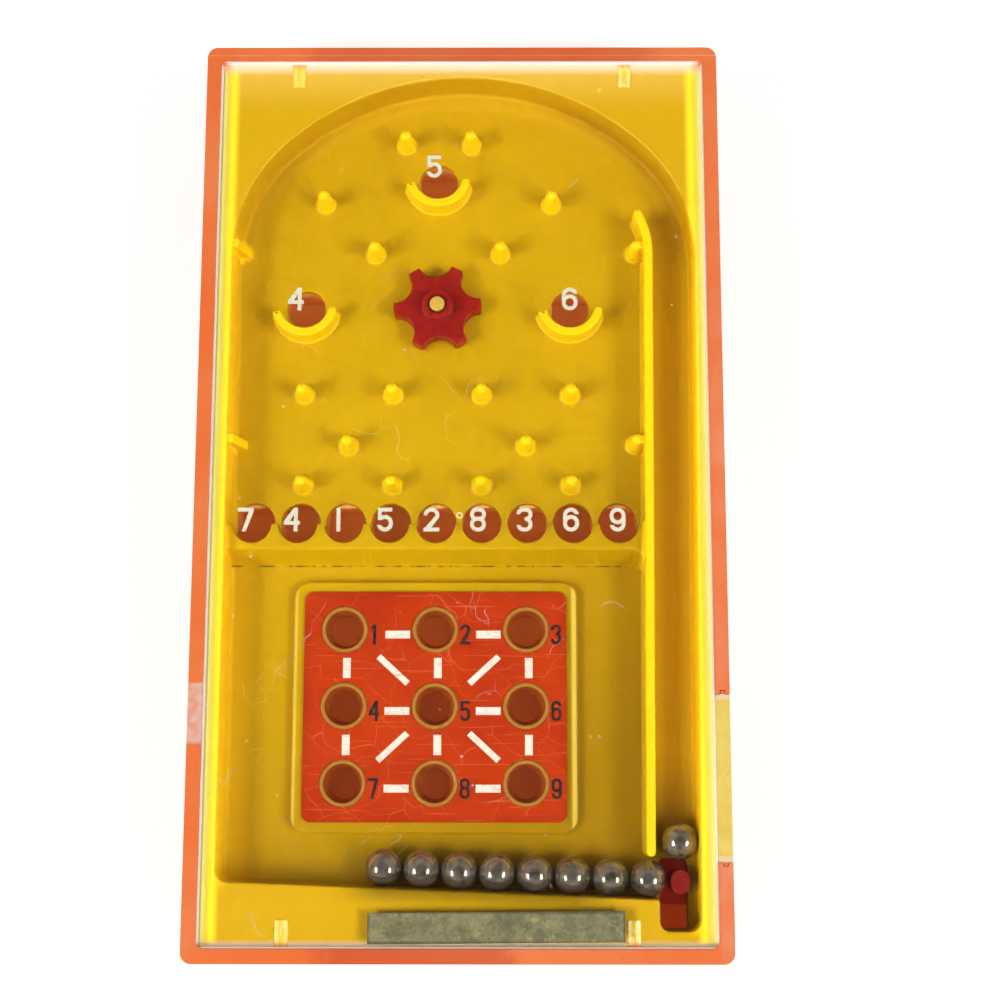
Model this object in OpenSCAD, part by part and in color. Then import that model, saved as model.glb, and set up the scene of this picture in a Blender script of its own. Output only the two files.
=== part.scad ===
// Pocket dexterity game: a flat case with a moulded ball field behind a clear cover.
// Millimetres. X runs across the case, Y towards the arched end, Z out of the clear front.
// The origin is the centre of the flat back. A ball is flicked up the lane on the right, rolls
// down past the pegs, and drops through a hole. Channels in the case lead it to its card window.

/* [Case] */
// Width of the case across its outside
case_w = 68.7; // [66:0.1:84]
// Length of the case along its outside
case_l = 120.4; // [118:0.2:146]
// Radius of the four outer corners of the case
case_corner_r = 1.4; // [0.6:0.1:3]
// Thickness of the case's side walls, seen as the rim
wall_t = 1.85; // [1.4:0.05:2.4]
// Thickness of the case's flat back
back_t = 1.6; // [1.2:0.1:2.4]
// How far the rim stands above the clear cover
rim_lip = 0.2; // [0:0.05:0.6]
// Width of the step inside the case that the moulding stands on
step_w = 0.8; // [0.5:0.1:1]
// Thickness of the ribs between the ball channels
rib_t = 0.8; // [0.6:0.05:1]

/* [Balls] */
// Diameter of a ball, 3/16 inch
ball_d = 4.7625; // [3.9:0.0125:4.9]
// Room beside a ball in a hole or a channel, in all
channel_side_room = 0.44; // [0.3:0.02:0.6]
// Room above a ball in a channel
channel_top_room = 0.54; // [0.3:0.02:1]
// Room between a ball on the field and the edge of the well, in height
well_room = 0.64; // [0.4:0.02:1.5]
// Balls lying in the tray
tray_balls = 8; // [8]

/* [Moulding] */
// Gap between the moulding and the case walls
mould_gap = 0.3; // [0.15:0.05:0.4]
// Thickness of the field's floor
floor_t = 1.2; // [1:0.1:1.6]
// Thickness of the sheet over the hollows under the shelf
shelf_t = 1.2; // [1:0.1:1.6]
// Radius of the moulding's outer top edge
shelf_edge_r = 1.4; // [0.5:0.1:1.5]
// Width of the shelf along the left wall
left_shelf_w = 1.7; // [1.5:0.1:3]
// Width of the shelf right of the lane, at the foot of the arch
right_shelf_w = 1; // [0.8:0.1:1.5]
// Width of the shelf above the crown of the arch
top_shelf_w = 1.7; // [1.5:0.1:3]
// Height of the arch from its foot to its crown
arch_rise = 25.4; // [24:0.1:30]
// Radius of the two shoulders of the arch
shoulder_r = 21.9; // [15:0.1:22.5]

/* [Lane] */
// Room beside a ball in the launching lane, in all
lane_room = 0.89; // [0.6:0.01:1.6]
// How far the lane leans to the left going down, in degrees
lane_lean = 0.5; // [0:0.1:1]
// Thickness of the rail between the field and the lane
rail_t = 1.15; // [0.9:0.05:1.5]
// How far the rail's top lies below the shelf
rail_below = 0.6; // [0.2:0.1:1.4]
// Distance from the bottom end of the moulding to the rail's lower end
rail_foot_up = 10.9; // [10.6:0.1:12]
// Outer radius of the bend at the top of the rail
rail_bend_r = 12; // [8:0.5:20]
// Angle of the bend at the top of the rail
rail_bend_angle = 28; // [10:1:40]
// Distance from the crown of the arch down to the start of the bend
rail_bend_down = 24.5; // [22:0.1:30]
// Width of the shelf below the end of the lane
lane_end_shelf_w = 1.75; // [1.2:0.05:3]
// How much narrower the lane is at its end than above
lane_end_narrow = 0.45; // [0:0.05:0.5]
// Size of the corner between the tray's lower wall and the lane's end
lane_end_chamfer = 0.8; // [0.4:0.1:1.2]
// Width of the shelf below the tray, at its lowest point beside the lane
tray_up = 5.6; // [5:0.05:6]

/* [Field] */
// Distance from the bottom end of the moulding up to the row of holes
row_up = 53.75; // [53:0.05:56]
// Distance from the crown down to the middle of the top cup's hole
top_cup_down = 13; // [12:0.05:15]
// Distance from the crown down to the holes of the two side cups
side_cup_down = 31; // [29:0.1:32]
// How far the side cups' holes are set in from the line of their channels
side_cup_in = 0.2; // [0:0.05:0.6]
// Room between a cup's hole and its wall
cup_room = 0.7; // [0.4:0.05:0.8]
// Thickness of a cup's wall
cup_t = 1.1; // [0.8:0.05:1.2]
// Angle below level at which a cup's wall ends on both sides, in degrees
cup_tip_angle = 15; // [0:1:30]
// Height of a cup's wall above the floor
cup_h = 3.1; // [2:0.1:4.5]
// How far the pegs' tips lie below the shelf
peg_below = 1; // [0.4:0.1:2]
// Radius of a peg at its foot
peg_foot_r = 1.3; // [0.9:0.05:1.4]
// Radius of a peg's round tip
peg_tip_r = 0.75; // [0.5:0.05:0.8]
// How far the pegs on the wall and on the rail stand out from it
wall_peg_out = 0.6; // [0:0.05:0.8]
// Width of the bridge from such a peg to its wall
peg_bridge_w = 1.1; // [0.8:0.05:1.3]
// Height of the ledge below the row of holes
ledge_h = 3.8; // [2:0.1:5]
// Distance from the middle of the holes down to the ledge's upper edge
ledge_top_down = 0.6; // [0.3:0.05:1.5]
// Distance from the middle of the holes down to the ledge's lower edge
ledge_foot_down = 3.8; // [3.4:0.05:4.5]
// How far the ledge's lower side slopes out at its foot
ledge_slope = 1.6; // [0.5:0.1:2]

/* [Spinner] */
// Distance from the crown down to the spinner's axis
spinner_down = 31.25; // [30:0.05:32]
// Radius over the tips of the star
star_tip_r = 5.9; // [5:0.1:6.5]
// Radius of the star at the bottom of its hollows
star_root_r = 4.15; // [3.4:0.05:4.4]
// Width of a tooth at its tip
star_tip_w = 1.75; // [1.2:0.05:2]
// Teeth on the star
star_teeth = 6; // [6]
// Turn of the star as photographed, in degrees
star_turn = 33.3; // [0:0.1:60]
// Thickness of the star
star_t = 2.3; // [1.5:0.1:3]
// Gap under the star
star_lift = 0.2; // [0.1:0.05:0.4]
// Thickness of the star's hub round its bore
hub_t = 0.97; // [0.7:0.01:1.5]
// Height of the hub above the star
hub_h = 1.2; // [0.5:0.1:1.6]
// Radius of the pin that the star turns on
pin_r = 1; // [0.8:0.05:1.1]
// How far the pin stands above the hub
pin_over = 0.4; // [0.1:0.1:1]
// Radial running clearance between pin and star
pin_clearance = 0.08; // [0.03:0.01:0.1]

/* [Card and windows] */
// Width of the border that the raised pad has round the score card
pad_border = 1.35; // [0.8:0.05:1.4]
// Height of the pad above the floor
pad_h = 1.2; // [0.8:0.1:1.5]
// Corner radius of the pad
pad_corner_r = 2; // [1:0.1:3]
// Distance from the row of holes down to the middle of the pad
pad_down = 23.85; // [23.6:0.05:24]
// Distance from the outer windows' middles to the card's side edges
card_side = 5.25; // [4.9:0.05:5.6]
// Distance from the outer windows' middles to the card's end edges
card_end = 4.95; // [4.2:0.05:5]
// Thickness of the score card
card_t = 0.3; // [0.2:0.05:0.5]
// Corner radius of the score card
card_corner_r = 1.2; // [0.5:0.1:2]
// How far the outer windows are set in from the middles of their channels
window_in = 0.2; // [0:0.05:0.6]
// Spacing of the card windows along the case
window_pitch_y = 9.9; // [9.6:0.05:10.1]
// Radius of a window at its top
window_top_r = 2.49; // [2.4:0.01:2.6]
// How much smaller than a ball's the radius of a window's foot is, so that no ball comes out
window_hold = 0.43; // [0.3:0.01:0.6]
// Thickness of the collar round a window at its top
collar_t = 0.51; // [0.4:0.01:0.6]
// Radial gap between a collar and the card
card_fit = 0.05; // [0.02:0.01:0.1]

/* [Cover] */
// Thickness of the clear cover
cover_t = 1.2; // [1:0.1:1.6]
// Gap between the cover and the case walls
cover_gap = 0.1; // [0.05:0.01:0.2]
// Gap under the cover, above the shelf
seat_gap = 0.1; // [0.05:0.01:0.2]
// Corner radius of the cover
cover_corner_r = 0.9; // [0.5:0.1:2]
// Width of a lug under the cover
lug_w = 1.45; // [1.2:0.05:1.8]
// Length of a lug
lug_l = 3; // [2:0.1:3.2]
// Depth of a lug below the cover
lug_h = 3.2; // [2:0.1:4]
// Distance of the lugs from the middle of the case
lug_x = 22; // [20:0.5:23]
// Play round a lug in its pocket
lug_play = 0.15; // [0.1:0.05:0.2]
// Height of the numerals on the cover
numeral_h = 3.1; // [2.5:0.1:3.3]
// Width of the numerals on the cover
numeral_w = 2.05; // [1.8:0.05:2.3]
// Stroke of the numerals on the cover
numeral_stroke = 0.5; // [0.35:0.05:0.6]
// Thickness of the numerals and of the printing on the card
ink_t = 0.06; // [0.04:0.01:0.1]
// Length of the bare label strip
label_l = 32; // [26:0.5:36]
// Width of the bare label strip
label_w = 3.8; // [3:0.1:4.2]
// Thickness of the label strip
label_t = 0.12; // [0.08:0.01:0.15]
// Turn of the label strip, in degrees
label_turn = 0.5; // [0:0.1:1]

/* [Launcher] */
// Width of the window and notch in the right wall, along the case
notch_l = 20.9; // [20:0.1:22]
// Distance from the bottom end of the case up to the notch
notch_up = 12.4; // [12:0.1:13]
// Travel of the plunger
travel = 4.3; // [3:0.1:4.3]
// Width of the plunger's post across the lane
post_w = 2.3; // [2:0.1:2.4]
// Length of the plunger's post along the lane
post_l = 3; // [2.5:0.1:3.2]
// How far the post's top lies below the shelf
post_below = 1; // [0.4:0.1:2]
// How far the post's middle is set to the right of the lane's
post_right = 0.275; // [0:0.025:0.3]
// Distance from the bottom end of the moulding up to the post's lower end
post_up = 6.25; // [6.2:0.05:7]
// Distance from the left wall of the lane's end to the slot in its floor
slot_in = 0.4; // [0.2:0.05:0.6]
// Room right of the post in the slot
slot_right_room = 0.1; // [0.08:0.01:0.2]
// How far the slot reaches past the resting post
slot_top_room = 1.3; // [0.2:0.1:1.6]
// Thickness of the slide plate under the floor
slide_t = 1.4; // [1:0.1:1.6]
// How far the slide plate reaches past the slot on each side
slide_overlap = 0.7; // [0.5:0.05:0.8]
// Distance from the post's lower end to the slide plate's lower end
slide_tail = 1.5; // [1:0.1:1.5]
// Gap between the slide plate and what it slides past
slide_gap = 0.2; // [0.1:0.05:0.3]
// Distance from the thumb pad's upper end to the slide plate's
slide_head = 3.2; // [2:0.1:4]
// Height of the thumb pad in the window
thumb_h = 5.2; // [4.5:0.1:5.4]
// How far the thumb pad's top stands above the field's floor
thumb_over = 0.2; // [0:0.1:0.5]
// Length of the bridge from the slide plate to the thumb pad
bridge_l = 9; // [6:0.5:11]
// Grooves across the thumb pad
thumb_grooves = 7; // [3:1:9]
// Radius of the grooves on the thumb pad
groove_r = 0.4; // [0.2:0.05:0.5]
// Gap round the thumb pad
thumb_gap = 0.25; // [0.15:0.05:0.3]
// How far the thumb pad lies back from the case's side
thumb_sunk = 0.1; // [0:0.05:0.3]
// Length of the return spring at rest
spring_l = 13; // [10:0.5:14]
// Room beside the return spring between its guides
spring_room = 0.15; // [0.1:0.05:0.3]
// Diameter of the spring's wire
wire_d = 0.36; // [0.3:0.02:0.4]
// Turns of the return spring
spring_turns = 9; // [6:1:10]
// Thickness of the spring seats
seat_t = 1.2; // [1:0.1:1.6]
// Radius of the spigots inside the spring's ends
spigot_r = 0.8; // [0.6:0.05:0.9]
// Length of the spigots
spigot_l = 1.8; // [1:0.1:2.2]
// Length of the tongues that hold the retainer in the wall
tongue_l = 0.5; // [0.3:0.05:0.8]
// Thickness of the tongues
tongue_t = 0.7; // [0.5:0.05:0.9]
// Gap round the retainer
retainer_gap = 0.05; // [0.03:0.01:0.1]

/* [Hidden] */
round_sides = 64;
small_sides = 32;
stop_gap = 0.2;    // between a ball at its window and the rib that stops it
past = 1;          // how far a cutting shape runs past what it cuts
weld = 0.05;       // how far joined shapes of one piece run into each other

ball_r = ball_d / 2;
channel_w = ball_d + channel_side_room;
channel_h = ball_d + channel_top_room;
hole_r = channel_w / 2;
hole_pitch = channel_w + rib_t;
holes = 9;
side_cup_x = 3 * hole_pitch - side_cup_in;
cup_inner_r = hole_r + cup_room;
cup_outer_r = cup_inner_r + cup_t;
lane_w = ball_d + lane_room;
bore_r = pin_r + pin_clearance;
hub_r = bore_r + hub_t;
pin_h = star_lift + star_t + hub_h + pin_over;

// Levels above the back
mould_z = back_t + channel_h;
floor_z = mould_z + floor_t;
shelf_z = floor_z + ball_d + well_room;
cover_z = shelf_z + seat_gap;
cover_face_z = cover_z + cover_t;
rim_z = cover_face_z + rim_lip;
pad_z = floor_z + pad_h;
card_z = pad_z + card_fit;
card_face_z = card_z + card_t;
ledge_z = floor_z + ledge_h;
rail_z = shelf_z - rail_below;
peg_h = shelf_z - peg_below - floor_z;

// Outlines of the case's inside and of the moulding
inner_w = case_w - 2 * wall_t;
inner_l = case_l - 2 * wall_t;
mould_w = inner_w - 2 * mould_gap;
mould_l = inner_l - 2 * mould_gap;
mould_end_y = -mould_l / 2;

// The well of the moulding: straight walls and an arch of three centres
well_left = -mould_w / 2 + left_shelf_w;
well_right = mould_w / 2 - right_shelf_w;
arch_x = (well_left + well_right) / 2;
arch_half_w = (well_right - well_left) / 2;
crown_y = mould_l / 2 - top_shelf_w;
spring_y = crown_y - arch_rise;

// Heights of the field's features
row_y = mould_end_y + row_up;
top_cup_y = crown_y - top_cup_down;
side_cup_y = crown_y - side_cup_down;
spinner_y = crown_y - spinner_down;
ledge_top_y = row_y - ledge_top_down;
ledge_foot_y = row_y - ledge_foot_down;
pad_y = row_y - pad_down;

// The lane leans about the foot of the arch
function lane_shift(y) = (spring_y - y) * tan(lane_lean);
function lane_wall_x(y) = well_right - lane_shift(y);
function rail_left_x(y) = lane_wall_x(y) - lane_w - rail_t;
rail_foot_y = mould_end_y + rail_foot_up;
rail_bend_y = crown_y - rail_bend_down;
lane_end_y = mould_end_y + lane_end_shelf_w;
lane_left_x = lane_wall_x(lane_end_y) - lane_w + lane_end_narrow;

// The field's middle lies between the left wall and the rail
field_x = (well_left + rail_left_x(row_y)) / 2;
field_w = rail_left_x(row_y) - well_left;

// Pegs as distances from the field's middle and down from the crown, or up from the row of holes
upper_pegs = [[4.43, 7.65], [15.39, 16.15], [8.45, 23.25]];
lower_pegs = [[5.93, 17.8], [17.8, 17.8], [11.8, 10.8], [5.93, 5.45], [17.8, 5.45]];
wall_peg_down = 23.15;
wall_peg_up = 10.9;

// Windows in the pad, in three rows of three, with the card and the pad round them
window_pitch_x = 2 * hole_pitch - window_in;
window_foot_r = ball_r - window_hold;
collar_r = window_top_r + collar_t;
card_w = 2 * (window_pitch_x + card_side);
card_l = 2 * (window_pitch_y + card_end);
pad_w = card_w + 2 * pad_border;
pad_l = card_l + 2 * pad_border;
window_row_y = pad_y + window_pitch_y;
function window_x(column) = field_x + (column - 1) * window_pitch_x;
function window_y(row) = window_row_y - row * window_pitch_y;

// Launcher
notch_y = -case_l / 2 + notch_up;
notch_top_y = notch_y + notch_l;
wall_x = case_w / 2 - wall_t;
post_y = mould_end_y + post_up + post_l / 2;
post_x = lane_wall_x(post_y) - lane_w / 2 + post_right;
post_top_y = post_y + post_l / 2;
slot_left_x = lane_left_x + slot_in;
slot_right_x = post_x + post_w / 2 + slot_right_room;
slot_w = slot_right_x - slot_left_x;
slot_x = (slot_left_x + slot_right_x) / 2;
slot_foot_y = post_y - post_l / 2 - travel - lug_play;
slot_top_y = post_top_y + slot_top_room;
slide_w = slot_w + 2 * slide_overlap;
slide_z = mould_z - slide_gap - slide_t;
slide_foot_y = post_y - post_l / 2 - slide_tail;
thumb_z = floor_z + thumb_over - thumb_h;
thumb_top_y = notch_top_y - thumb_gap;
thumb_l = notch_l - travel - 2 * thumb_gap;
slide_top_y = thumb_top_y - slide_head;
window_z = thumb_z - thumb_gap;
retainer_z = thumb_z + thumb_h + thumb_gap;
spring_axis_z = (back_t + slide_z) / 2;
spring_top_y = slide_top_y - seat_t;
spring_foot_y = spring_top_y - spring_l;
coil_r = slide_w / 2 - rib_t - spring_room - wire_d / 2;
coil_rings = 8 * spring_turns;
coil_end = 0.04 + wire_d / 2;
coil_climb = spring_l - 2 * coil_end;

// The tray slopes down to the right, and its balls lie along its lower wall as far as the post
tray_slope = 2.3;
tray_wall_gap = 0.08;
function tray_wall_y(x) = mould_end_y + tray_up + (lane_left_x - x) * tan(tray_slope);
ball_gap = 0.03;
ball_pitch = ball_d + ball_gap;
post_ball_gap = 0.42;
last_ball_x = post_x - post_w / 2 - ball_r - post_ball_gap;
last_ball_y = tray_wall_y(last_ball_x) + (ball_r + tray_wall_gap) / cos(tray_slope);

// The lane's ball lies against the lane's right wall, a little above the post
lane_ball_up = 1.17;
lane_ball_y = post_top_y + ball_r + lane_ball_up;
lane_ball_gap = 0.1;
lane_ball_x = lane_wall_x(lane_ball_y) - ball_r - lane_ball_gap;

case_colour = [0.99, 0.40, 0.20];
mould_colour = [0.90, 0.74, 0.08];
red_colour = [0.62, 0.07, 0.06];
card_colour = [0.80, 0.22, 0.06];
steel_colour = [0.72, 0.72, 0.74];
clear_colour = [0.93, 0.96, 0.98, 0.25];
cream_colour = [0.98, 0.95, 0.84];
black_colour = [0.10, 0.07, 0.06];
label_colour = [0.42, 0.45, 0.36];
tan_colour = [0.92, 0.77, 0.38];

// Shared shapes

// A rectangle with round corners, centred on the origin
module rounded_rectangle(w, l, r) {
    square([w - 2 * r, l], center = true);
    square([w, l - 2 * r], center = true);
    for (x = [-1, 1], y = [-1, 1])
        translate([x * (w / 2 - r), y * (l / 2 - r)]) circle(r, $fn = round_sides);
}

// The same as a slab between two levels
module slab(w, l, r, z0, z1) {
    translate([0, 0, z0]) linear_extrude(z1 - z0) rounded_rectangle(w, l, r);
}

// A box between two corners
module block(low, high) {
    translate(low) cube(high - low);
}

// A straight bar with round ends
module bar(from, to, w, h) {
    span = to - from;
    translate([from[0], from[1], 0]) {
        rotate([0, 0, atan2(span[1], span[0])])
            translate([0, -w / 2, 0]) cube([norm(span), w, h]);
        cylinder(h, r = w / 2, $fn = small_sides);
    }
    translate([to[0], to[1], 0]) cylinder(h, r = w / 2, $fn = small_sides);
}

// Plain numerals in plan, centred on the origin, of width w, height h and stroke s.
// Two bowls, one on the other, meet at the middle.
module numeral(n, w, h, s) {
    half = w / 2;
    top = h / 2;
    middle = 0.03 * h;
    cut = 0.27 * h;
    if (n == 1) {
        translate([-s / 2, -top]) square([s, h]);
        polygon([[-s / 2, top], [-0.75 * half, top - 0.6 * half],
                 [-0.75 * half, top - 0.6 * half - s], [-s / 2, top - 1.2 * s]]);
    }
    if (n == 2) {
        difference() {
            bowl(top - w, top, w, s);
            translate([-w, top - w - past]) square([2 * w, half + past]);
        }
        polygon([[half - s, top - half], [half, top - half], [half, top - half - 0.3 * s],
                 [-half + 1.3 * s, -top], [-half, -top], [-half, -top + 0.5 * s]]);
        translate([-half, -top]) square([w, s]);
    }
    if (n == 3) difference() {
        bowls(middle, top, w, s);
        translate([-w, cut - top]) square([w, h - 2 * cut]);
    }
    if (n == 4) {
        bar_y = -0.22 * h;
        translate([0.12 * w, -top]) square([s, h]);
        translate([-half, bar_y]) square([w, s]);
        polygon([[0.12 * w, top], [0.12 * w + s, top], [-half + s, bar_y], [-half, bar_y],
                 [-half, bar_y + s]]);
    }
    if (n == 5) {
        difference() {
            bowl(-top, middle + s, w, s);
            translate([-w, cut - top]) square([w, middle - cut + top - 0.3 * s]);
        }
        translate([-0.9 * half, middle - 0.3 * s]) square([s, top - middle + 0.3 * s]);
        translate([-0.9 * half, top - s]) square([1.8 * half, s]);
    }
    if (n == 6) hooked_bowl(middle, cut, top, w, s);
    if (n == 7) {
        translate([-half, top - s]) square([w, s]);
        polygon([[half - 1.2 * s, top - s], [half, top - s], [0.7 * s - 0.3 * half, -top],
                 [-0.3 * half - 0.3 * s, -top]]);
    }
    if (n == 8) bowls(middle, top, w, s);
    if (n == 9) rotate(180) hooked_bowl(middle, cut, top, w, s);
}

// One closed bowl between two heights
module bowl(y0, y1, w, s) {
    r = min(w, y1 - y0) / 2 - 0.01;
    translate([0, (y0 + y1) / 2]) difference() {
        rounded_rectangle(w, y1 - y0, r);
        rounded_rectangle(w - 2 * s, y1 - y0 - 2 * s, r - s);
    }
}

// Two bowls that share the stroke between them
module bowls(middle, top, w, s) {
    bowl(-top, middle + s / 2, w, s);
    bowl(middle - s / 2, top, w, s);
}

// The shape of a 6: a closed bowl, and a back that hooks over to the right at its top
module hooked_bowl(middle, cut, top, w, s) {
    bowl(-top, middle + s, w, s);
    difference() {
        bowl(-top, top, w, s);
        translate([0, -top - past]) square([w, 2 * top - cut + past]);
    }
}

// The outline of the arch, larger all round by grow, from its foot upwards
module arch_outline(grow) {
    half = arch_half_w + grow;
    rise = arch_rise + grow;
    r = shoulder_r + grow;
    drop = (pow(half - r, 2) - pow(rise - r, 2)) / (2 * (rise - r));
    crown_r = rise + drop;
    reach = 3 * crown_r;
    translate([arch_x, spring_y]) {
        for (side = [-1, 1])
            translate([side * (half - r), 0]) circle(r, $fn = 2 * round_sides);
        intersection() {
            translate([0, -drop]) circle(crown_r, $fn = 2 * round_sides);
            polygon([
                [0, -drop],
                [reach * (half - r), -drop + reach * drop],
                [0, 2 * reach * crown_r],
                [-reach * (half - r), -drop + reach * drop]
            ]);
        }
        polygon([[-half + r, 0], [0, -drop], [half - r, 0]]);
    }
}

// Case with the ball channels in its floor

module rear_case() color(case_colour) {
    difference() {
        slab(case_w, case_l, case_corner_r, 0, rim_z);
        slab(inner_w, inner_l, cover_corner_r + cover_gap, back_t, rim_z + past);
        side_window();
    }
    support_step();
    translate([field_x, 0, back_t - weld])
        linear_extrude(channel_h + weld - retainer_gap) channel_ribs();
    launcher_guides();
}

// The thumb pad's window in the right wall, open at the top for the retainer
module side_window() {
    block([wall_x - past, notch_y, window_z], [case_w / 2 + past, notch_top_y, rim_z + past]);
    translate([wall_x + wall_t / 2 - tongue_t / 2, notch_y - tongue_l, retainer_z])
        cube([tongue_t, notch_l + 2 * tongue_l, rim_z]);
}

// The step that the moulding stands on, open where the launcher passes
module support_step() {
    step_z = mould_z - retainer_gap;
    difference() {
        slab(inner_w + weld, inner_l + weld, cover_corner_r, back_t - weld, step_z);
        slab(inner_w - 2 * step_w, inner_l - 2 * step_w, cover_corner_r, back_t - past,
             step_z + past);
        block([wall_x - step_w - past, notch_y - step_w, window_z],
              [case_w, notch_top_y + step_w, rim_z]);
        block([slot_x - slide_w / 2 - 1, -case_l / 2, slide_z - slide_gap],
              [slot_x + slide_w / 2 + 1, slide_foot_y, rim_z]);
    }
}

// One rib of the channels in plan, between two points, X counted in half pitches from the middle
module channel_rib(x1, y1, x2, y2) {
    from = [x1 * hole_pitch / 2, y1];
    to = [x2 * hole_pitch / 2, y2];
    span = to - from;
    translate(from) rotate(atan2(span[1], span[0]))
        translate([-rib_t / 2, -rib_t / 2]) square([norm(span) + rib_t, rib_t]);
}

// Nine channels take the balls from the holes down to the nine windows of the card.
// A channel's ribs stand at odd half pitches. Below a turn, a sloping rib leads the ball inwards.
module channel_ribs() {
    head = row_y + hole_r + rib_t / 2;
    cup_head = side_cup_y + hole_r + rib_t / 2;
    top_head = top_cup_y + hole_r + rib_t / 2;
    bend_top = top_cup_y - hole_pitch;
    bend_foot = bend_top - 1.5 * hole_pitch;
    stop = ball_r + stop_gap + rib_t / 2;
    turn_room = channel_w + rib_t / 2 - stop;
    stops = [for (row = [0:2]) window_y(row) - stop];
    turns = [for (row = [0:2]) stops[row] + stop + turn_room + 1];
    fall = 0.12 * hole_pitch;

    // outer channels, the same on both sides
    for (s = [-1, 1]) {
        channel_rib(9 * s, head, 9 * s, stops[2] + 3 * fall);
        channel_rib(9 * s, stops[2] + 3 * fall, 3 * s, stops[2]);
        channel_rib(9 * s, head, 7 * s, head);
        channel_rib(7 * s, cup_head, 7 * s, stops[1] + 2 * fall);
        channel_rib(7 * s, stops[1] + 2 * fall, 3 * s, stops[1]);
        channel_rib(7 * s, cup_head, 5 * s, cup_head);
        channel_rib(5 * s, cup_head, 5 * s, turns[1]);
        channel_rib(5 * s, head, 3 * s, head);
        channel_rib(5 * s, stops[0], 3 * s, stops[0]);
        channel_rib(3 * s, head, 3 * s, stops[2]);
    }
    // middle windows, fed from the left in the second row and from the right in the third
    channel_rib(-1, head, 3, head);
    channel_rib(-1, stops[0], 1, stops[0]);
    channel_rib(-1, bend_foot, -1, turns[1]);
    channel_rib(-1, stops[1], -1, stops[2]);
    channel_rib(1, head, 1, turns[2]);
    channel_rib(-3, stops[1] + fall, -1, stops[1]);
    channel_rib(-1, stops[1], 1, stops[1]);
    channel_rib(3, stops[2] + fall, 1, stops[2]);
    channel_rib(1, stops[2], -1, stops[2]);
    // the top cup's channel steps over to the left of the spinner
    channel_rib(-1, top_head, 1, top_head);
    channel_rib(-1, top_head, -1, bend_top);
    channel_rib(1, top_head, 1, bend_top);
    channel_rib(-1, bend_top, -3, bend_foot);
    channel_rib(1, bend_top, -1, bend_foot);
    channel_rib(-3, bend_foot, -3, head);
}

// Two rails that the slide plate runs on, and the fixed seat of the return spring
module launcher_guides() {
    guide_x = (slide_w - rib_t) / 2;
    for (side = [-1, 1])
        block([slot_x + side * guide_x - rib_t / 2, -inner_l / 2 - weld, back_t - weld],
              [slot_x + side * guide_x + rib_t / 2, slide_top_y, slide_z - retainer_gap]);
    block([slot_x - guide_x, spring_foot_y - seat_t, back_t - weld],
          [slot_x + guide_x, spring_foot_y, slide_z - slide_gap]);
    translate([slot_x, spring_foot_y - weld, spring_axis_z])
        rotate([-90, 0, 0]) cylinder(spigot_l, r = spigot_r, $fn = small_sides);
}

// Moulding with the field, the lane, the tray and the card pad

module playfield() color(mould_colour) {
    difference() {
        mould_body();
        translate([0, 0, floor_z]) linear_extrude(shelf_z) well_outline();
        shelf_hollows();
        lug_pockets();
        ball_holes(mould_z - past, floor_z + past);
        windows(mould_z - past, floor_z + past);
        launcher_slot();
    }
    pegs();
    cups();
    ledge();
    rail();
    card_pad();
    translate([field_x, spinner_y, floor_z - weld])
        cylinder(pin_h + weld, r = pin_r, $fn = round_sides);
}

// The moulding's block, with its outer top edges rounded
module mould_body() {
    difference() {
        slab(mould_w, mould_l, cover_corner_r, mould_z, shelf_z);
        for (side = [0, 180]) {
            rotate([0, 0, side]) edge_cut(mould_w / 2, mould_l);
            rotate([0, 0, side + 90]) edge_cut(mould_l / 2, mould_w);
        }
    }
}

// What rounding takes off one long top edge
module edge_cut(x, l) {
    translate([x - shelf_edge_r, l / 2 + past, shelf_z - shelf_edge_r])
        rotate([90, 0, 0]) linear_extrude(l + 2 * past) difference() {
            square(shelf_edge_r + past);
            circle(shelf_edge_r, $fn = round_sides);
        }
}

// The well in plan: the arch, the field and tray below it, and the lane's end
module well_outline() {
    arch_outline(0);
    polygon([
        [well_left, spring_y],
        [well_left, tray_wall_y(well_left)],
        [lane_left_x - lane_end_chamfer, tray_wall_y(lane_left_x - lane_end_chamfer)],
        [lane_left_x, tray_wall_y(lane_left_x) - lane_end_chamfer],
        [lane_left_x, lane_end_y],
        [lane_wall_x(lane_end_y), lane_end_y],
        [well_right, spring_y]
    ]);
}

// Hollows under the shelf, so that its walls are about as thick as its sheet
module shelf_hollows() {
    hollow_top = shelf_z - shelf_t - mould_z;
    shell = shelf_edge_r + 0.2;
    hollow_foot_y = spring_y + 0.4 * arch_rise;
    hollow_right_x = lane_left_x - shelf_t - lane_end_chamfer;
    translate([0, 0, mould_z - past]) linear_extrude(hollow_top + past) {
        difference() {
            translate([-mould_w / 2 + shell, hollow_foot_y])
                square([mould_w - 2 * shell, mould_l / 2 - shell - hollow_foot_y]);
            arch_outline(shelf_t);
        }
        polygon([
            [-mould_w / 2 + shell, mould_end_y + shell],
            [-mould_w / 2 + shell, tray_wall_y(well_left) - shelf_t],
            [hollow_right_x, tray_wall_y(lane_left_x) - shelf_t],
            [hollow_right_x, mould_end_y + shell]
        ]);
    }
}

// Pockets that take the cover's lugs, open to the moulding's ends
module lug_pockets() {
    for (x = [-lug_x, lug_x], side = [0, 180])
        rotate([0, 0, side])
            translate([x - lug_w / 2 - lug_play, mould_l / 2 - lug_l - lug_play,
                       cover_z - lug_h - lug_play])
                cube([lug_w + 2 * lug_play, lug_l + past, lug_h + past]);
}

// The nine holes of the row and the three holes in the cups
module ball_holes(z0, z1) {
    for (i = [0:holes - 1])
        hole_at(field_x + (i - (holes - 1) / 2) * hole_pitch, row_y, z0, z1);
    hole_at(field_x, top_cup_y, z0, z1);
    for (s = [-1, 1]) hole_at(field_x + s * side_cup_x, side_cup_y, z0, z1);
}

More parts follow.
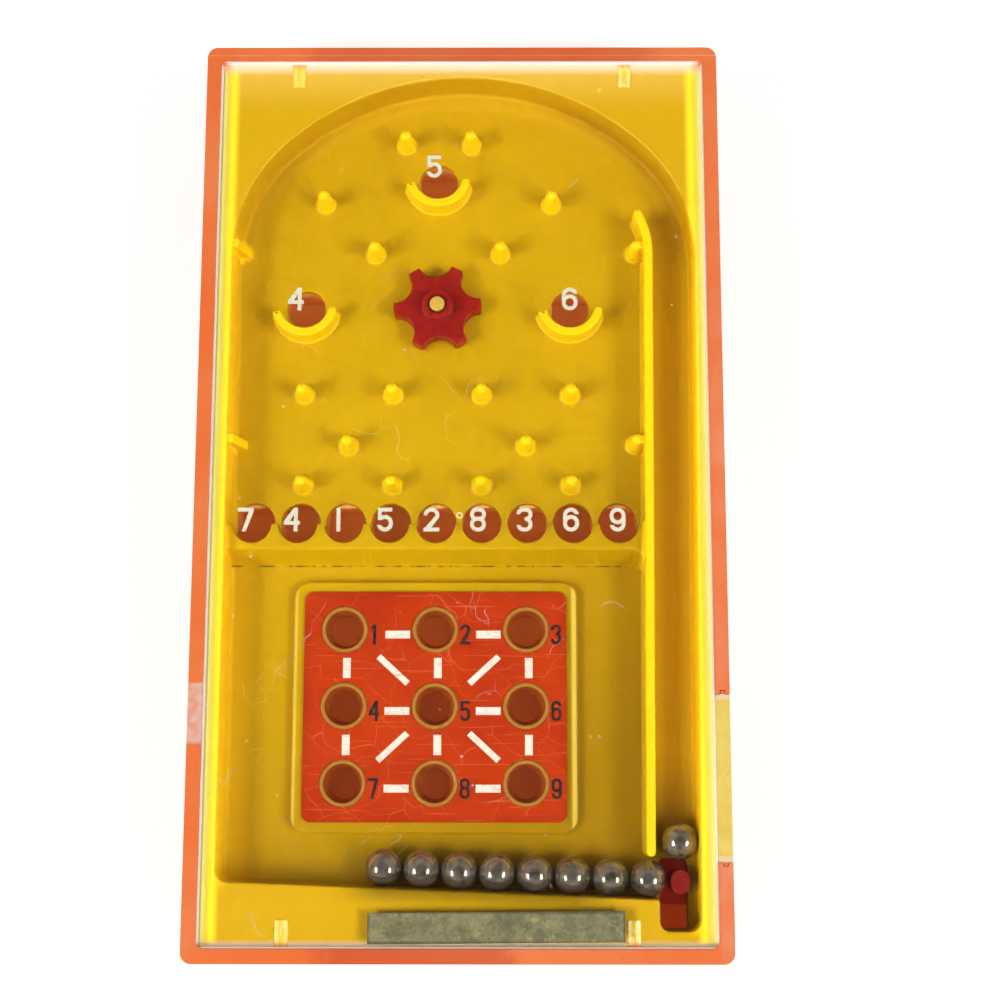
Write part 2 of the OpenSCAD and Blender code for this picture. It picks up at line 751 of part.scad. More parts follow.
module hole_at(x, y, z0, z1) {
    translate([x, y, z0]) cylinder(z1 - z0, r = hole_r, $fn = round_sides);
}

// The bores of the card windows through the floor
module windows(z0, z1) {
    for (column = [0:2], row = [0:2])
        translate([window_x(column), window_y(row), z0])
            cylinder(z1 - z0, r = window_foot_r, $fn = round_sides);
}

// The slot in the lane's floor that the plunger's post moves along
module launcher_slot() {
    block([slot_left_x, slot_foot_y, mould_z - past],
          [slot_right_x, slot_top_y, floor_z + past]);
}

module pegs() {
    for (p = upper_pegs, s = [-1, 1]) peg(field_x + s * p[0], crown_y - p[1]);
    for (p = lower_pegs, s = [-1, 1]) peg(field_x + s * p[0], row_y + p[1]);
    for (y = [crown_y - wall_peg_down, row_y + wall_peg_up]) {
        wall_peg(well_left, y, 1);
        wall_peg(rail_left_x(y), y, -1);
    }
}

// A peg beside a wall, with a bridge from the wall to the peg's middle
module wall_peg(x, y, side) {
    peg_x = x + side * wall_peg_out;
    peg(peg_x, y);
    block([min(x - side * weld, peg_x), y - peg_bridge_w / 2, floor_z - weld],
          [max(x - side * weld, peg_x), y + peg_bridge_w / 2, floor_z + peg_h - peg_tip_r / 2]);
}

// One peg: a cone with a round tip
module peg(x, y) {
    cone_h = peg_h - peg_tip_r;
    translate([x, y, floor_z - weld]) {
        cylinder(cone_h + weld, r1 = peg_foot_r, r2 = peg_tip_r, $fn = small_sides);
        translate([0, 0, cone_h + weld]) sphere(peg_tip_r, $fn = small_sides);
    }
}

module cups() {
    cup(field_x, top_cup_y);
    for (s = [-1, 1]) cup(field_x + s * side_cup_x, side_cup_y);
}

// One cup: a curved wall round the lower side of its hole. Its round tips stand out a hair, so
// that their edges cross the wall's sides.
module cup(x, y) {
    middle_r = (cup_inner_r + cup_outer_r) / 2;
    side = [cos(cup_tip_angle), -sin(cup_tip_angle)];
    far = 2 * cup_outer_r;
    translate([x, y, floor_z - weld]) linear_extrude(cup_h + weld) {
        difference() {
            circle(cup_outer_r, $fn = round_sides);
            circle(cup_inner_r, $fn = round_sides);
            polygon([[0, 0], [far * side[0], far * side[1]], [far, far], [-far, far],
                     [-far * side[0], far * side[1]]]);
        }
        for (s = [-1, 1])
            translate([s * middle_r * side[0], middle_r * side[1]])
                circle(cup_t / 2 + 0.01, $fn = small_sides);
    }
}

// The ledge below the row of holes, bitten by them, sloping into the tray
module ledge() {
    left = well_left - weld;
    difference() {
        translate([left, 0, 0]) rotate([90, 0, 90])
            linear_extrude(rail_left_x(row_y) + rail_t / 2 - left)
                polygon([
                    [ledge_top_y, floor_z - weld],
                    [ledge_top_y, ledge_z],
                    [ledge_foot_y, ledge_z],
                    [ledge_foot_y - ledge_slope, floor_z - weld]
                ]);
        ball_holes(mould_z - past, ledge_z + past);
    }
}

// The rail between the field and the lane, bent over at its top
module rail() {
    foot = [rail_left_x(rail_foot_y) + rail_t / 2, rail_foot_y + rail_t / 2];
    head = [rail_left_x(rail_bend_y) + rail_t / 2, rail_bend_y];
    bend = [head[0] + rail_t / 2 - rail_bend_r, rail_bend_y];
    tip = bend + (rail_bend_r - rail_t / 2) * [cos(rail_bend_angle), sin(rail_bend_angle)];
    // the round ends stand out a hair, so that their edges cross the rail's sides
    end_r = rail_t / 2 + 0.01;
    translate([0, 0, floor_z - weld]) linear_extrude(rail_z - floor_z + weld) {
        polygon([foot - [rail_t / 2, 0], foot + [rail_t / 2, 0], head + [rail_t / 2, 0],
                 head - [rail_t / 2, 0]]);
        intersection() {
            translate(bend) difference() {
                circle(rail_bend_r, $fn = 2 * round_sides);
                circle(rail_bend_r - rail_t, $fn = 2 * round_sides);
            }
            polygon([bend, bend + [2 * rail_bend_r, 0],
                     bend + 2 * rail_bend_r * [cos(rail_bend_angle), sin(rail_bend_angle)]]);
        }
        translate(foot) circle(end_r, $fn = small_sides);
        translate(tip) circle(end_r, $fn = small_sides);
    }
}

// The raised pad, with a collar round each window
module card_pad() {
    difference() {
        union() {
            translate([field_x, pad_y, 0])
                slab(pad_w, pad_l, pad_corner_r, floor_z - weld, pad_z);
            for (column = [0:2], row = [0:2])
                translate([window_x(column), window_y(row), floor_z])
                    cylinder(card_face_z - floor_z, r = collar_r, $fn = round_sides);
        }
        for (column = [0:2], row = [0:2])
            translate([window_x(column), window_y(row), floor_z - 2 * weld])
                cylinder(card_face_z - floor_z + 3 * weld, r1 = window_foot_r,
                         r2 = window_top_r, $fn = round_sides);
    }
}

// Clear cover and its printing

module clear_cover() color(clear_colour) {
    slab(inner_w - 2 * cover_gap, inner_l - 2 * cover_gap, cover_corner_r, cover_z,
         cover_face_z);
    for (x = [-lug_x, lug_x], side = [0, 180])
        rotate([0, 0, side])
            translate([x - lug_w / 2, mould_l / 2 - lug_l, cover_z - lug_h])
                cube([lug_w, lug_l - lug_play, lug_h + weld]);
}

// Numerals over the holes: one per cup, and one per hole of the row
module cover_numerals() color(cream_colour) {
    row_order = [7, 4, 1, 5, 2, 8, 3, 6, 9];
    print_x = -0.42;  // the printing sits a little left of the holes' middles
    for (i = [0:holes - 1])
        cover_numeral(row_order[i], print_x + (i - (holes - 1) / 2) * hole_pitch, row_y - 0.2);
    cover_numeral(5, print_x, top_cup_y);
    cover_numeral(4, print_x - side_cup_x - 0.3, side_cup_y - 0.35);
    cover_numeral(6, print_x + side_cup_x + 0.2, side_cup_y - 0.35);
}

// One numeral of the cover, with its middle at x from the field's middle and at y. A 1 is a plain bar.
module cover_numeral(n, x, y) {
    translate([field_x + x, y, cover_face_z])
        linear_extrude(ink_t) {
            if (n == 1) square([numeral_stroke, numeral_h], center = true);
            else numeral(n, numeral_w, numeral_h, numeral_stroke);
        }
}

module label_strip() color(label_colour) {
    label_x = 4.8;   // of its middle
    label_up = 2.3;  // of its middle, from the moulding's lower end
    translate([label_x, mould_end_y + label_up, cover_face_z])
        rotate([0, 0, label_turn])
            translate([-label_l / 2, -label_w / 2, 0]) cube([label_l, label_w, label_t]);
}

// Card on the pad

module score_card() color(card_colour) {
    difference() {
        translate([field_x, pad_y, 0])
            slab(card_w, card_l, card_corner_r, card_z, card_face_z);
        for (column = [0:2], row = [0:2])
            translate([window_x(column), window_y(row), card_z - past])
                cylinder(card_t + 2 * past, r = collar_r + card_fit, $fn = round_sides);
    }
}

// White bars that join the windows: across, along and on the diagonals
module card_lines() color(cream_colour) {
    wide = 1;
    narrow = 0.8;
    across_y = -0.65;
    along_x = 0.35;
    across_end = [collar_r + 2.3, window_pitch_x - collar_r - 0.3];
    along_end = [-collar_r - 0.7, collar_r + 0.6 - window_pitch_y];
    diagonal = [1.9, 1.75];
    translate([0, 0, card_face_z]) {
        for (s = [0, 1], row = [0:2])
            card_bar([window_x(s) + across_end[0], window_y(row) + across_y],
                     [window_x(s) + across_end[1], window_y(row) + across_y], wide);
        for (column = [0:2], s = [0, 1])
            card_bar([window_x(column) + along_x, window_y(s) + along_end[0]],
                     [window_x(column) + along_x, window_y(s) + along_end[1]], wide);
        for (s = [0, 1], t = [0, 1]) {
            middle = [window_x(s) + window_pitch_x / 2 + 0.45,
                      window_y(t) - window_pitch_y / 2 - 0.3];
            reach = [diagonal[0], (s == t ? -1 : 1) * diagonal[1]];
            card_bar(middle - reach, middle + reach, narrow);
        }
    }
}

// One printed bar with square ends
module card_bar(from, to, w) {
    span = to - from;
    translate([from[0], from[1], 0]) rotate([0, 0, atan2(span[1], span[0])])
        translate([0, -w / 2, 0]) cube([norm(span), w, ink_t]);
}

// Black numerals right of the windows
module card_numerals() color(black_colour) {
    card_numeral_w = 1.3;
    card_numeral_h = 2.6;
    card_stroke = 0.36;
    right = collar_r + 0.9;
    down = 0.65;
    for (column = [0:2], row = [0:2])
        translate([window_x(column) + right, window_y(row) - down, card_face_z])
            linear_extrude(ink_t)
                numeral(3 * row + column + 1, card_numeral_w, card_numeral_h, card_stroke);
}

// Spinner

module star_spinner() color(red_colour) {
    z0 = floor_z + star_lift;
    translate([field_x, spinner_y, z0]) rotate([0, 0, star_turn]) difference() {
        union() {
            linear_extrude(star_t) star_outline();
            cylinder(star_t + hub_h, r = hub_r, $fn = round_sides);
        }
        translate([0, 0, -past])
            cylinder(star_t + hub_h + 2 * past, r = bore_r, $fn = round_sides);
    }
}

// Six teeth with round hollows between them. A hollow's circle meets the tips' corners.
module star_outline() {
    step = 360 / star_teeth;
    half_tip = asin(star_tip_w / 2 / star_tip_r);
    corner = star_tip_r * [cos(step / 2 - half_tip), sin(step / 2 - half_tip)];
    hollow_x = (pow(corner[0], 2) + pow(corner[1], 2) - pow(star_root_r, 2))
        / (2 * (corner[0] - star_root_r));
    difference() {
        circle(star_tip_r, $fn = round_sides);
        for (i = [0:star_teeth - 1])
            rotate(i * step) translate([hollow_x, 0])
                circle(hollow_x - star_root_r, $fn = round_sides);
    }
}

// Launcher

module plunger() color(red_colour) {
    plunger_post();
    slide_plate();
    thumb_pad();
}

// The post in the lane, which strikes the ball
module plunger_post() {
    post_r = post_w / 2;
    translate([0, 0, slide_z + slide_t - weld])
        bar([post_x, post_y - post_l / 2 + post_r], [post_x, post_y + post_l / 2 - post_r],
            post_w, shelf_z - post_below - slide_z - slide_t + weld);
}

// The plate under the floor, with the moving seat of the spring hanging from its upper end
module slide_plate() {
    lug_half = (slide_w - 2 * rib_t) / 2 - slide_gap;
    block([slot_x - slide_w / 2, slide_foot_y, slide_z],
          [slot_x + slide_w / 2, slide_top_y, slide_z + slide_t]);
    block([slot_x - lug_half, slide_top_y - seat_t, back_t + slide_gap],
          [slot_x + lug_half, slide_top_y, slide_z + weld]);
    translate([slot_x, spring_top_y + weld, spring_axis_z])
        rotate([90, 0, 0]) cylinder(spigot_l, r = spigot_r, $fn = small_sides);
}

// The thumb pad in the side window, joined to the plate by a bridge
module thumb_pad() {
    outer_x = case_w / 2 - thumb_sunk;
    groove_pitch = thumb_l / (thumb_grooves + 1);
    block([slot_x, slide_top_y - bridge_l, slide_z],
          [wall_x + thumb_gap + weld, slide_top_y, slide_z + slide_t]);
    difference() {
        block([wall_x + retainer_gap, thumb_top_y - thumb_l, thumb_z],
              [outer_x, thumb_top_y, thumb_z + thumb_h]);
        for (i = [1:thumb_grooves])
            translate([outer_x + groove_r / 4, thumb_top_y - i * groove_pitch, thumb_z - past])
                cylinder(thumb_h + 2 * past, r = groove_r, $fn = small_sides);
    }
}

// The middle of the spring's wire at one of its rings, eight to a turn
function wire_centre(i) = [
    coil_r * cos(45 * i),
    coil_end + coil_climb * i / coil_rings,
    coil_r * sin(45 * i)
];

// The return spring: one unbroken tube wound round the slide's line
module plunger_spring() color(steel_colour) {
    sides = 6;
    points = [for (i = [0:coil_rings], k = [0:sides - 1])
        let (turn = 45 * i, a = 360 * k / sides)
        wire_centre(i) + wire_d / 2 * [cos(a) * cos(turn), sin(a), cos(a) * sin(turn)]];
    skin = [for (i = [0:coil_rings - 1], k = [0:sides - 1], half = [0, 1])
        let (a = i * sides + k, b = i * sides + (k + 1) % sides)
        half == 0 ? [a, b, b + sides] : [a, b + sides, a + sides]];
    foot = [for (k = [1:sides - 2]) [0, k + 1, k]];
    top = coil_rings * sides;
    head = [for (k = [1:sides - 2]) [top, top + k, top + k + 1]];
    echo(gap_between_spring_turns = coil_climb / spring_turns - wire_d);
    translate([slot_x, spring_foot_y, spring_axis_z])
        polyhedron(points, concat(skin, foot, head));
}

// The strip that closes the notch above the thumb pad
module slide_retainer() color(tan_colour) {
    block([wall_x + retainer_gap, notch_y + retainer_gap, retainer_z],
          [case_w / 2, notch_top_y - retainer_gap, rim_z]);
    block([wall_x + wall_t / 2 - tongue_t / 2 + retainer_gap, notch_y - tongue_l + retainer_gap,
           retainer_z + retainer_gap],
          [wall_x + wall_t / 2 + tongue_t / 2 - retainer_gap,
           notch_top_y + tongue_l - retainer_gap, rim_z]);
}

// Balls

module ball(x, y) color(steel_colour) {
    translate([x, y, floor_z + ball_r]) sphere(ball_r, $fn = round_sides);
}

// Ball of the tray, counted from the left
module tray_ball(i) {
    back = (tray_balls - i) * ball_pitch;
    ball(last_ball_x - back * cos(tray_slope), last_ball_y + back * sin(tray_slope));
}

module lane_ball() {
    ball(lane_ball_x, lane_ball_y);
}

rear_case();
playfield();
clear_cover();
cover_numerals();
score_card();
card_lines();
card_numerals();
label_strip();
slide_retainer();
star_spinner();
plunger();
plunger_spring();
tray_ball(1);  // tray_ball_1
tray_ball(2);  // tray_ball_2
tray_ball(3);  // tray_ball_3
tray_ball(4);  // tray_ball_4
tray_ball(5);  // tray_ball_5
tray_ball(6);  // tray_ball_6
tray_ball(7);  // tray_ball_7
tray_ball(8);  // tray_ball_8
lane_ball();
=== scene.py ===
"""Pocket dexterity game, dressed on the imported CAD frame.

Sizes in the classes are millimetres, as on a maker's drawing. Meshes are made in metres.
"""

from __future__ import annotations

import logging
import math
from dataclasses import dataclass
from enum import Enum
from typing import Sequence, Union

import bmesh
import bpy
import numpy as np
from mathutils import Matrix, Quaternion, Vector
from mathutils.geometry import delaunay_2d_cdt

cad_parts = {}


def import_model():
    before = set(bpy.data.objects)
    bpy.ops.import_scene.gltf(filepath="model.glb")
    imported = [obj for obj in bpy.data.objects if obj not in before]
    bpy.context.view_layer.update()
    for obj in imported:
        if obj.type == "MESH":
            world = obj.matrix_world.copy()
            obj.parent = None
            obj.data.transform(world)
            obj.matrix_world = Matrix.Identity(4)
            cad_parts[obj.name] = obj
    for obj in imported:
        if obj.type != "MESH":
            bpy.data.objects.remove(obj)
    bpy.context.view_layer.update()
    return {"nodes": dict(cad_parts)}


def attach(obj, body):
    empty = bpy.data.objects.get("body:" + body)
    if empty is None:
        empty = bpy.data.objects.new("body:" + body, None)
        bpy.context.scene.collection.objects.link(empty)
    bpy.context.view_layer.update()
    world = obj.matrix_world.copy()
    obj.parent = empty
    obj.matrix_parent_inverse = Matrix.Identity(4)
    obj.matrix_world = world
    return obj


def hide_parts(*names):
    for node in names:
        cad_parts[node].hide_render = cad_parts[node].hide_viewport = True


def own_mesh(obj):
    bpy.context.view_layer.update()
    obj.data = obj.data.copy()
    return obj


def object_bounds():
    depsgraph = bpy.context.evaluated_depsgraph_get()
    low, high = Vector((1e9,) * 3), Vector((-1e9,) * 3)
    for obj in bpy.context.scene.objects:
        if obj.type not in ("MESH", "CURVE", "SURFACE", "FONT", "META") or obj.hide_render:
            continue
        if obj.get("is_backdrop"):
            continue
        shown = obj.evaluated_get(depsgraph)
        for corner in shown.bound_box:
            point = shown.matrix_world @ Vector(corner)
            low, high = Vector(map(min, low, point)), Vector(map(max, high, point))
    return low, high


LOG = logging.getLogger("pocket_game")
MM = 0.001
WELD = 2e-6
FLAT_DEGREES = 0.4

Array = np.ndarray
Surface = tuple[Array, Array]
Value = Union[float, tuple, "Wire"]


class Slot(Enum):
    """The record's material slots."""

    ORANGE = "orange_plastic"
    YELLOW = "yellow_plastic"
    CLEAR = "clear_plastic"
    CREAM = "white_ink"
    CARD = "card"
    CARD_WHITE = "card_white_ink"
    BLACK = "black_ink"
    LABEL = "label_paper"
    TAN = "tan_plastic"
    RED = "red_plastic"
    SPRING = "spring_steel"
    BALL = "ball_steel"


class Body(Enum):
    """The frame's moving bodies that new pieces ride on."""

    CASING = "casing"
    SPINNER = "spinner"
    LAUNCHER = "launcher"
    LANE_BALL = "lane_ball"


# Outlines


def arc(centre: Sequence[float], radius: float, start: float, end: float, steps: int) -> Array:
    """Points on a circle: the centre plus the radius times cosine and sine of even angles.

    Args:
        centre: middle of the circle.
        radius: its radius.
        start: first angle in degrees.
        end: last angle in degrees.
        steps: how many points.

    Returns:
        Array of steps rows, x and y.
    """
    angle = np.radians(np.linspace(start, end, steps))
    return np.asarray(centre) + radius * np.stack([np.cos(angle), np.sin(angle)], 1)


def circle(centre: Sequence[float], radius: float, steps: int = 64) -> Array:
    """A closed circle, anticlockwise, without its repeated last point."""
    return arc(centre, radius, 0, 360, steps + 1)[:-1]


def filleted(corners: Array, radii: Array, steps: int = 8) -> Array:
    """A closed polygon whose corners are arcs: each arc is a curve between the two tangent points,
    bent as a circle of the corner's radius.

    Args:
        corners: polygon corners.
        radii: one radius for each corner, 0 for a corner left sharp.
        steps: points on each arc.

    Returns:
        The outline's points.
    """
    rows: list[Array] = []
    for here, before, after, radius in zip(
        corners, np.roll(corners, 1, 0), np.roll(corners, -1, 0), radii
    ):
        if radius <= 0:
            rows.append(here[None])
            continue
        back = (before - here) / np.linalg.norm(before - here)
        ahead = (after - here) / np.linalg.norm(after - here)
        half = math.acos(float(np.clip(back @ ahead, -1, 1))) / 2
        middle = here + (back + ahead) / np.linalg.norm(back + ahead) * radius / math.sin(half)
        first = here + back * radius / math.tan(half) - middle
        last = here + ahead * radius / math.tan(half) - middle
        start = math.atan2(first[1], first[0])
        turn = (math.atan2(last[1], last[0]) - start + math.pi) % (2 * math.pi) - math.pi
        rows.append(arc(middle, radius, math.degrees(start), math.degrees(start + turn), steps))
    return np.concatenate(rows)


def rounded_box(centre: Sequence[float], wide: float, high: float, radius: float, steps: int = 8) -> Array:
    """A rectangle with round corners, anticlockwise.

    Args:
        centre: its middle.
        wide: its size across.
        high: its size up.
        radius: the corners' radius.
        steps: points on each corner.

    Returns:
        The outline.
    """
    x, y = wide / 2, high / 2
    corners = np.array([[-x, -y], [x, -y], [x, y], [-x, y]]) + np.asarray(centre)
    return filleted(corners, np.full(4, radius), steps)


def resampled(outline: Array, step: float) -> Array:
    """The closed outline with extra points, so that no edge is longer than step.

    Args:
        outline: the closed outline.
        step: the longest edge.

    Returns:
        The points.
    """
    ahead = np.roll(outline, -1, 0) - outline
    parts = np.maximum(1, np.ceil(np.linalg.norm(ahead, axis=1) / step).astype(int))
    which = np.repeat(np.arange(len(outline)), parts)
    share = (np.arange(len(which)) - np.repeat(np.cumsum(parts) - parts, parts)) / parts[which]
    return outline[which] + ahead[which] * share[:, None]


def reach(outline: Array) -> Array:
    """Outward steps of a closed anticlockwise outline: the sum of both edges' normals over one
    plus their dot product, so that an offset keeps the edges parallel.

    Args:
        outline: the outline.

    Returns:
        A step for each point.
    """
    ahead = np.roll(outline, -1, 0) - outline
    ahead = ahead / np.linalg.norm(ahead, axis=1, keepdims=True)
    after = np.stack([ahead[:, 1], -ahead[:, 0]], 1)
    before = np.roll(after, 1, 0)
    return (before + after) / (1 + np.sum(before * after, 1, keepdims=True))


def stroked(path: Array, half: float, steps: int = 12) -> Array:
    """The outline of a thick line with round ends: the path moved half its width to either side.

    Args:
        path: points of the open path.
        half: half of the line's width.
        steps: points on each round end.

    Returns:
        The closed anticlockwise outline.
    """
    along = np.gradient(path, axis=0)
    along = along / np.linalg.norm(along, axis=1, keepdims=True)
    side = np.stack([along[:, 1], -along[:, 0]], 1)
    end = math.degrees(math.atan2(side[-1, 1], side[-1, 0]))
    start = math.degrees(math.atan2(-side[0, 1], -side[0, 0]))
    return np.concatenate(
        [
            path + side * half,
            arc(path[-1], half, end, end + 180, steps)[1:-1],
            (path - side * half)[::-1],
            arc(path[0], half, start, start + 180, steps)[1:-1],
        ]
    )


def inside(outline: Array, points: Array) -> Array:
    """Whether each point lies in the outline: a ray to the right crosses it an odd number of times.

    Args:
        outline: the closed outline.
        points: places to test.

    Returns:
        True for each place inside.
    """
    start, end = outline[None], np.roll(outline, -1, 0)[None]
    x, y = points[:, None, 0], points[:, None, 1]
    spans = (start[..., 1] > y) != (end[..., 1] > y)
    rise = np.where(spans, end[..., 1] - start[..., 1], 1.0)
    cross = start[..., 0] + (y - start[..., 1]) * (end[..., 0] - start[..., 0]) / rise
    return (spans & (cross > x)).sum(1) % 2 == 1


def nearest(points: Array, marks: Array) -> Array:
    """Distance from each point to the nearest of the marks, in blocks of points.

    Args:
        points: places to measure from.
        marks: places to measure to.

    Returns:
        The distances.
    """
    blocks = np.array_split(points, max(1, len(points) // 2000))
    return np.concatenate(
        [np.sqrt(((b[:, None] - marks[None]) ** 2).sum(2).min(1)) for b in blocks]
    )


# Surfaces


def lofted(rings: Array) -> Surface:
    """Quads between each closed ring and the next, as one grid.

    Args:
        rings: array of rings, points and three coordinates.

    Returns:
        Points and quads.
    """
    index = np.arange(rings.shape[0] * rings.shape[1]).reshape(rings.shape[:2])
    index = np.concatenate([index, index[:, :1]], 1)
    quads = np.stack([index[:-1, :-1], index[:-1, 1:], index[1:, 1:], index[1:, :-1]], -1)
    return rings.reshape(-1, 3), quads.reshape(-1, 4)


def walled(outline: Array, profile: Array) -> Array:
    """Rings of an outline moved out by each row of a profile and set at its height.

    Args:
        outline: an anticlockwise outline.
        profile: rows of outward step and height.

    Returns:
        The rings.
    """
    flat = outline[None] + profile[:, :1, None] * reach(outline)[None]
    height = np.broadcast_to(profile[:, 1:, None], flat.shape[:2] + (1,))
    return np.concatenate([flat, height], 2)


def filled(outline: Array, holes: Sequence[Array], height: float, grid: float = 0.0) -> Surface:
    """A flat face with holes: a constrained triangulation of the outlines, kept between them.

    Args:
        outline: the outer edge.
        holes: edges of the holes.
        height: the face's height.
        grid: spacing of extra points inside, 0 for none.

    Returns:
        Points and triangles.
    """
    loops = [outline, *holes]
    starts = np.cumsum([0] + [len(p) for p in loops])
    points = np.concatenate(loops)
    edges = np.concatenate(
        [
            np.stack([s + np.arange(len(p)), s + np.roll(np.arange(len(p)), -1)], 1)
            for s, p in zip(starts, loops)
        ]
    )
    if grid:
        low, high = outline.min(0), outline.max(0)
        across, up = np.meshgrid(np.arange(low[0], high[0], grid), np.arange(low[1], high[1], grid))
        extra = np.stack([across.ravel(), up.ravel()], 1)
        extra[:, 0] += np.where((up.ravel() / grid).astype(int) % 2, grid / 2, 0.0)
        keep = inside(outline, extra) & (nearest(extra, points) > grid * 0.6)
        for hole in holes:
            keep &= ~inside(hole, extra)
        points = np.concatenate([points, extra[keep]])
    made = delaunay_2d_cdt([Vector(p) for p in points.tolist()], edges.tolist(), [], 1, 1e-7)
    flat = np.array([tuple(v) for v in made[0]])
    faces = np.array(made[2])
    middle = flat[faces].mean(1)
    keep = inside(outline, middle)
    for hole in holes:
        keep &= ~inside(hole, middle)
    return np.column_stack([flat, np.full(len(flat), height)]), faces[keep]


def rounding(radius: float, top: float, out: float = 0.0, steps: int = 6) -> Array:
    """Profile rows of a convex quarter round that ends on the top face, radius inside out."""
    return arc((out - radius, top - radius), radius, 0, 90, steps)


def flare(radius: float, foot: float, out: float = 0.0, steps: int = 6) -> Array:
    """Profile rows of a concave quarter round that starts on the foot's plane."""
    return arc((out + radius, foot + radius), radius, 270, 180, steps)


def block(outline: Array, profile: Array) -> list[Surface]:
    """A closed solid: a wall on the profile, with its two flat ends filled.

    Args:
        outline: anticlockwise outline that the profile moves out from.
        profile: rows of outward step and height, from the foot up.

    Returns:
        The solid's surfaces.
    """
    rings = walled(outline, profile)
    return [
        lofted(rings),
        filled(rings[0, :, :2], [], float(profile[0, 1])),
        filled(rings[-1, :, :2], [], float(profile[-1, 1])),
    ]


def revolved(centre: Sequence[float], profile: Array, steps: int = 40) -> Surface:
    """A profile of radius and height turned about an upright axis.

    Args:
        centre: where the axis stands.
        profile: rows of radius and height.
        steps: points on each ring.

    Returns:
        The surface.
    """
    angle = np.linspace(0, 2 * np.pi, steps, endpoint=False)
    turn = np.stack([np.cos(angle), np.sin(angle)], 1)
    flat = np.asarray(centre) + profile[:, :1, None] * turn[None]
    height = np.broadcast_to(profile[:, 1:, None], flat.shape[:2] + (1,))
    return lofted(np.concatenate([flat, height], 2))


def tubed(path: Array, radius: float, sides: int = 10) -> list[Surface]:
    """A round wire along a path: circles square to the path, with a small round at both ends.

    Args:
        path: points along the wire's middle.
        radius: the wire's radius.
        sides: points on each circle.

    Returns:
        The wire's surfaces.
    """
    along = np.gradient(path, axis=0)
    along = along / np.linalg.norm(along, axis=1, keepdims=True)
    side = np.cross(along, np.array([0.0, 1.0, 0.0]))
    side = side / np.linalg.norm(side, axis=1, keepdims=True)
    other = np.cross(along, side)
    angle = np.linspace(0, 2 * np.pi, sides, endpoint=False)
    rim = radius * (
        np.cos(angle)[None, :, None] * side[:, None] + np.sin(angle)[None, :, None] * other[:, None]
    )
    rings = path[:, None] + rim
    end = np.array([[0.0], [0.35], [0.7], [0.9], [1.0]])[:, None]
    head = path[0] + rim[0][None] * end - along[0] * radius * 0.6 * np.sqrt(1 - end**2)
    tail = path[-1] + rim[-1][None] * end[::-1] + along[-1] * radius * 0.6 * np.sqrt(1 - end[::-1] ** 2)
    return [lofted(np.concatenate([head, rings, tail]))]


class Shells:
    """Surfaces gathered into one mesh, in millimetres."""

    def __init__(self) -> None:
        """Starts with no surface."""
        self.points: list[Array] = []
        self.faces: list[list[int]] = []
        self.count = 0

    def add(self, *surfaces: Surface) -> None:
        """Takes more surfaces in.

        Args:
            surfaces: points and faces of each.
        """
        for points, faces in surfaces:
            self.faces.extend((faces + self.count).tolist())
            self.points.append(points)
            self.count += len(points)

    def mesh(self, name: str) -> bpy.types.Mesh:
        """Welds the surfaces into closed shells, drops faces without area and turns all faces out.

        Args:
            name: the mesh's name.

        Returns:
            The mesh, in metres.
        """
        mesh = bpy.data.meshes.new(name)
        mesh.from_pydata((np.concatenate(self.points) * MM).tolist(), [], self.faces)
        work = bmesh.new()
        work.from_mesh(mesh)
        bmesh.ops.remove_doubles(work, verts=work.verts, dist=WELD)
        bmesh.ops.dissolve_degenerate(work, edges=work.edges, dist=WELD / 2)
        bmesh.ops.recalc_face_normals(work, faces=work.faces)
        work.to_mesh(mesh)
        work.free()
        return mesh


def shaded(mesh: bpy.types.Mesh, angle: float = 32.0) -> None:
    """Shades a mesh smooth, with edges over the angle in degrees kept sharp."""
    mesh.shade_smooth()
    mesh.set_sharp_from_angle(angle=math.radians(angle))


def placed(mesh: bpy.types.Mesh, name: str) -> bpy.types.Object:
    """A new object at the origin that shows the mesh.

    Args:
        mesh: the mesh.
        name: the object's name.

    Returns:
        The object.
    """
    made = bpy.data.objects.new(name, mesh)
    bpy.context.scene.collection.objects.link(made)
    return made


def settled(made: bpy.types.Object) -> bpy.types.Object:
    """Takes the result of an object's modifiers as its mesh.

    Args:
        made: the object.

    Returns:
        The same object.
    """
    bpy.context.view_layer.update()
    graph = bpy.context.evaluated_depsgraph_get()
    mesh = bpy.data.meshes.new_from_object(made.evaluated_get(graph))
    mesh.name = made.name
    made.modifiers.clear()
    made.data = mesh
    return made


def weighted(piece: bpy.types.Object) -> bpy.types.Object:
    """Turns a piece's shading normals by face area, so that flat faces between roundings look flat.

    Args:
        piece: the piece.

    Returns:
        The same piece.
    """
    lean = piece.modifiers.new("normals", "WEIGHTED_NORMAL")
    lean.weight = 90
    lean.keep_sharp = True
    return settled(piece)


def coordinates(mesh: bpy.types.Mesh) -> Array:
    """A mesh's points in millimetres.

    Args:
        mesh: the mesh.

    Returns:
        A row for each point.
    """
    flat = np.zeros(len(mesh.vertices) * 3)
    mesh.vertices.foreach_get("co", flat)
    return flat.reshape(-1, 3) / MM


def noted(mesh: bpy.types.Mesh, name: str, values: Array) -> None:
    """Writes one number for each point into the mesh's attribute."""
    layer = mesh.attributes.new(name, "FLOAT", "POINT")
    layer.data.foreach_set("value", values.astype(np.float32))


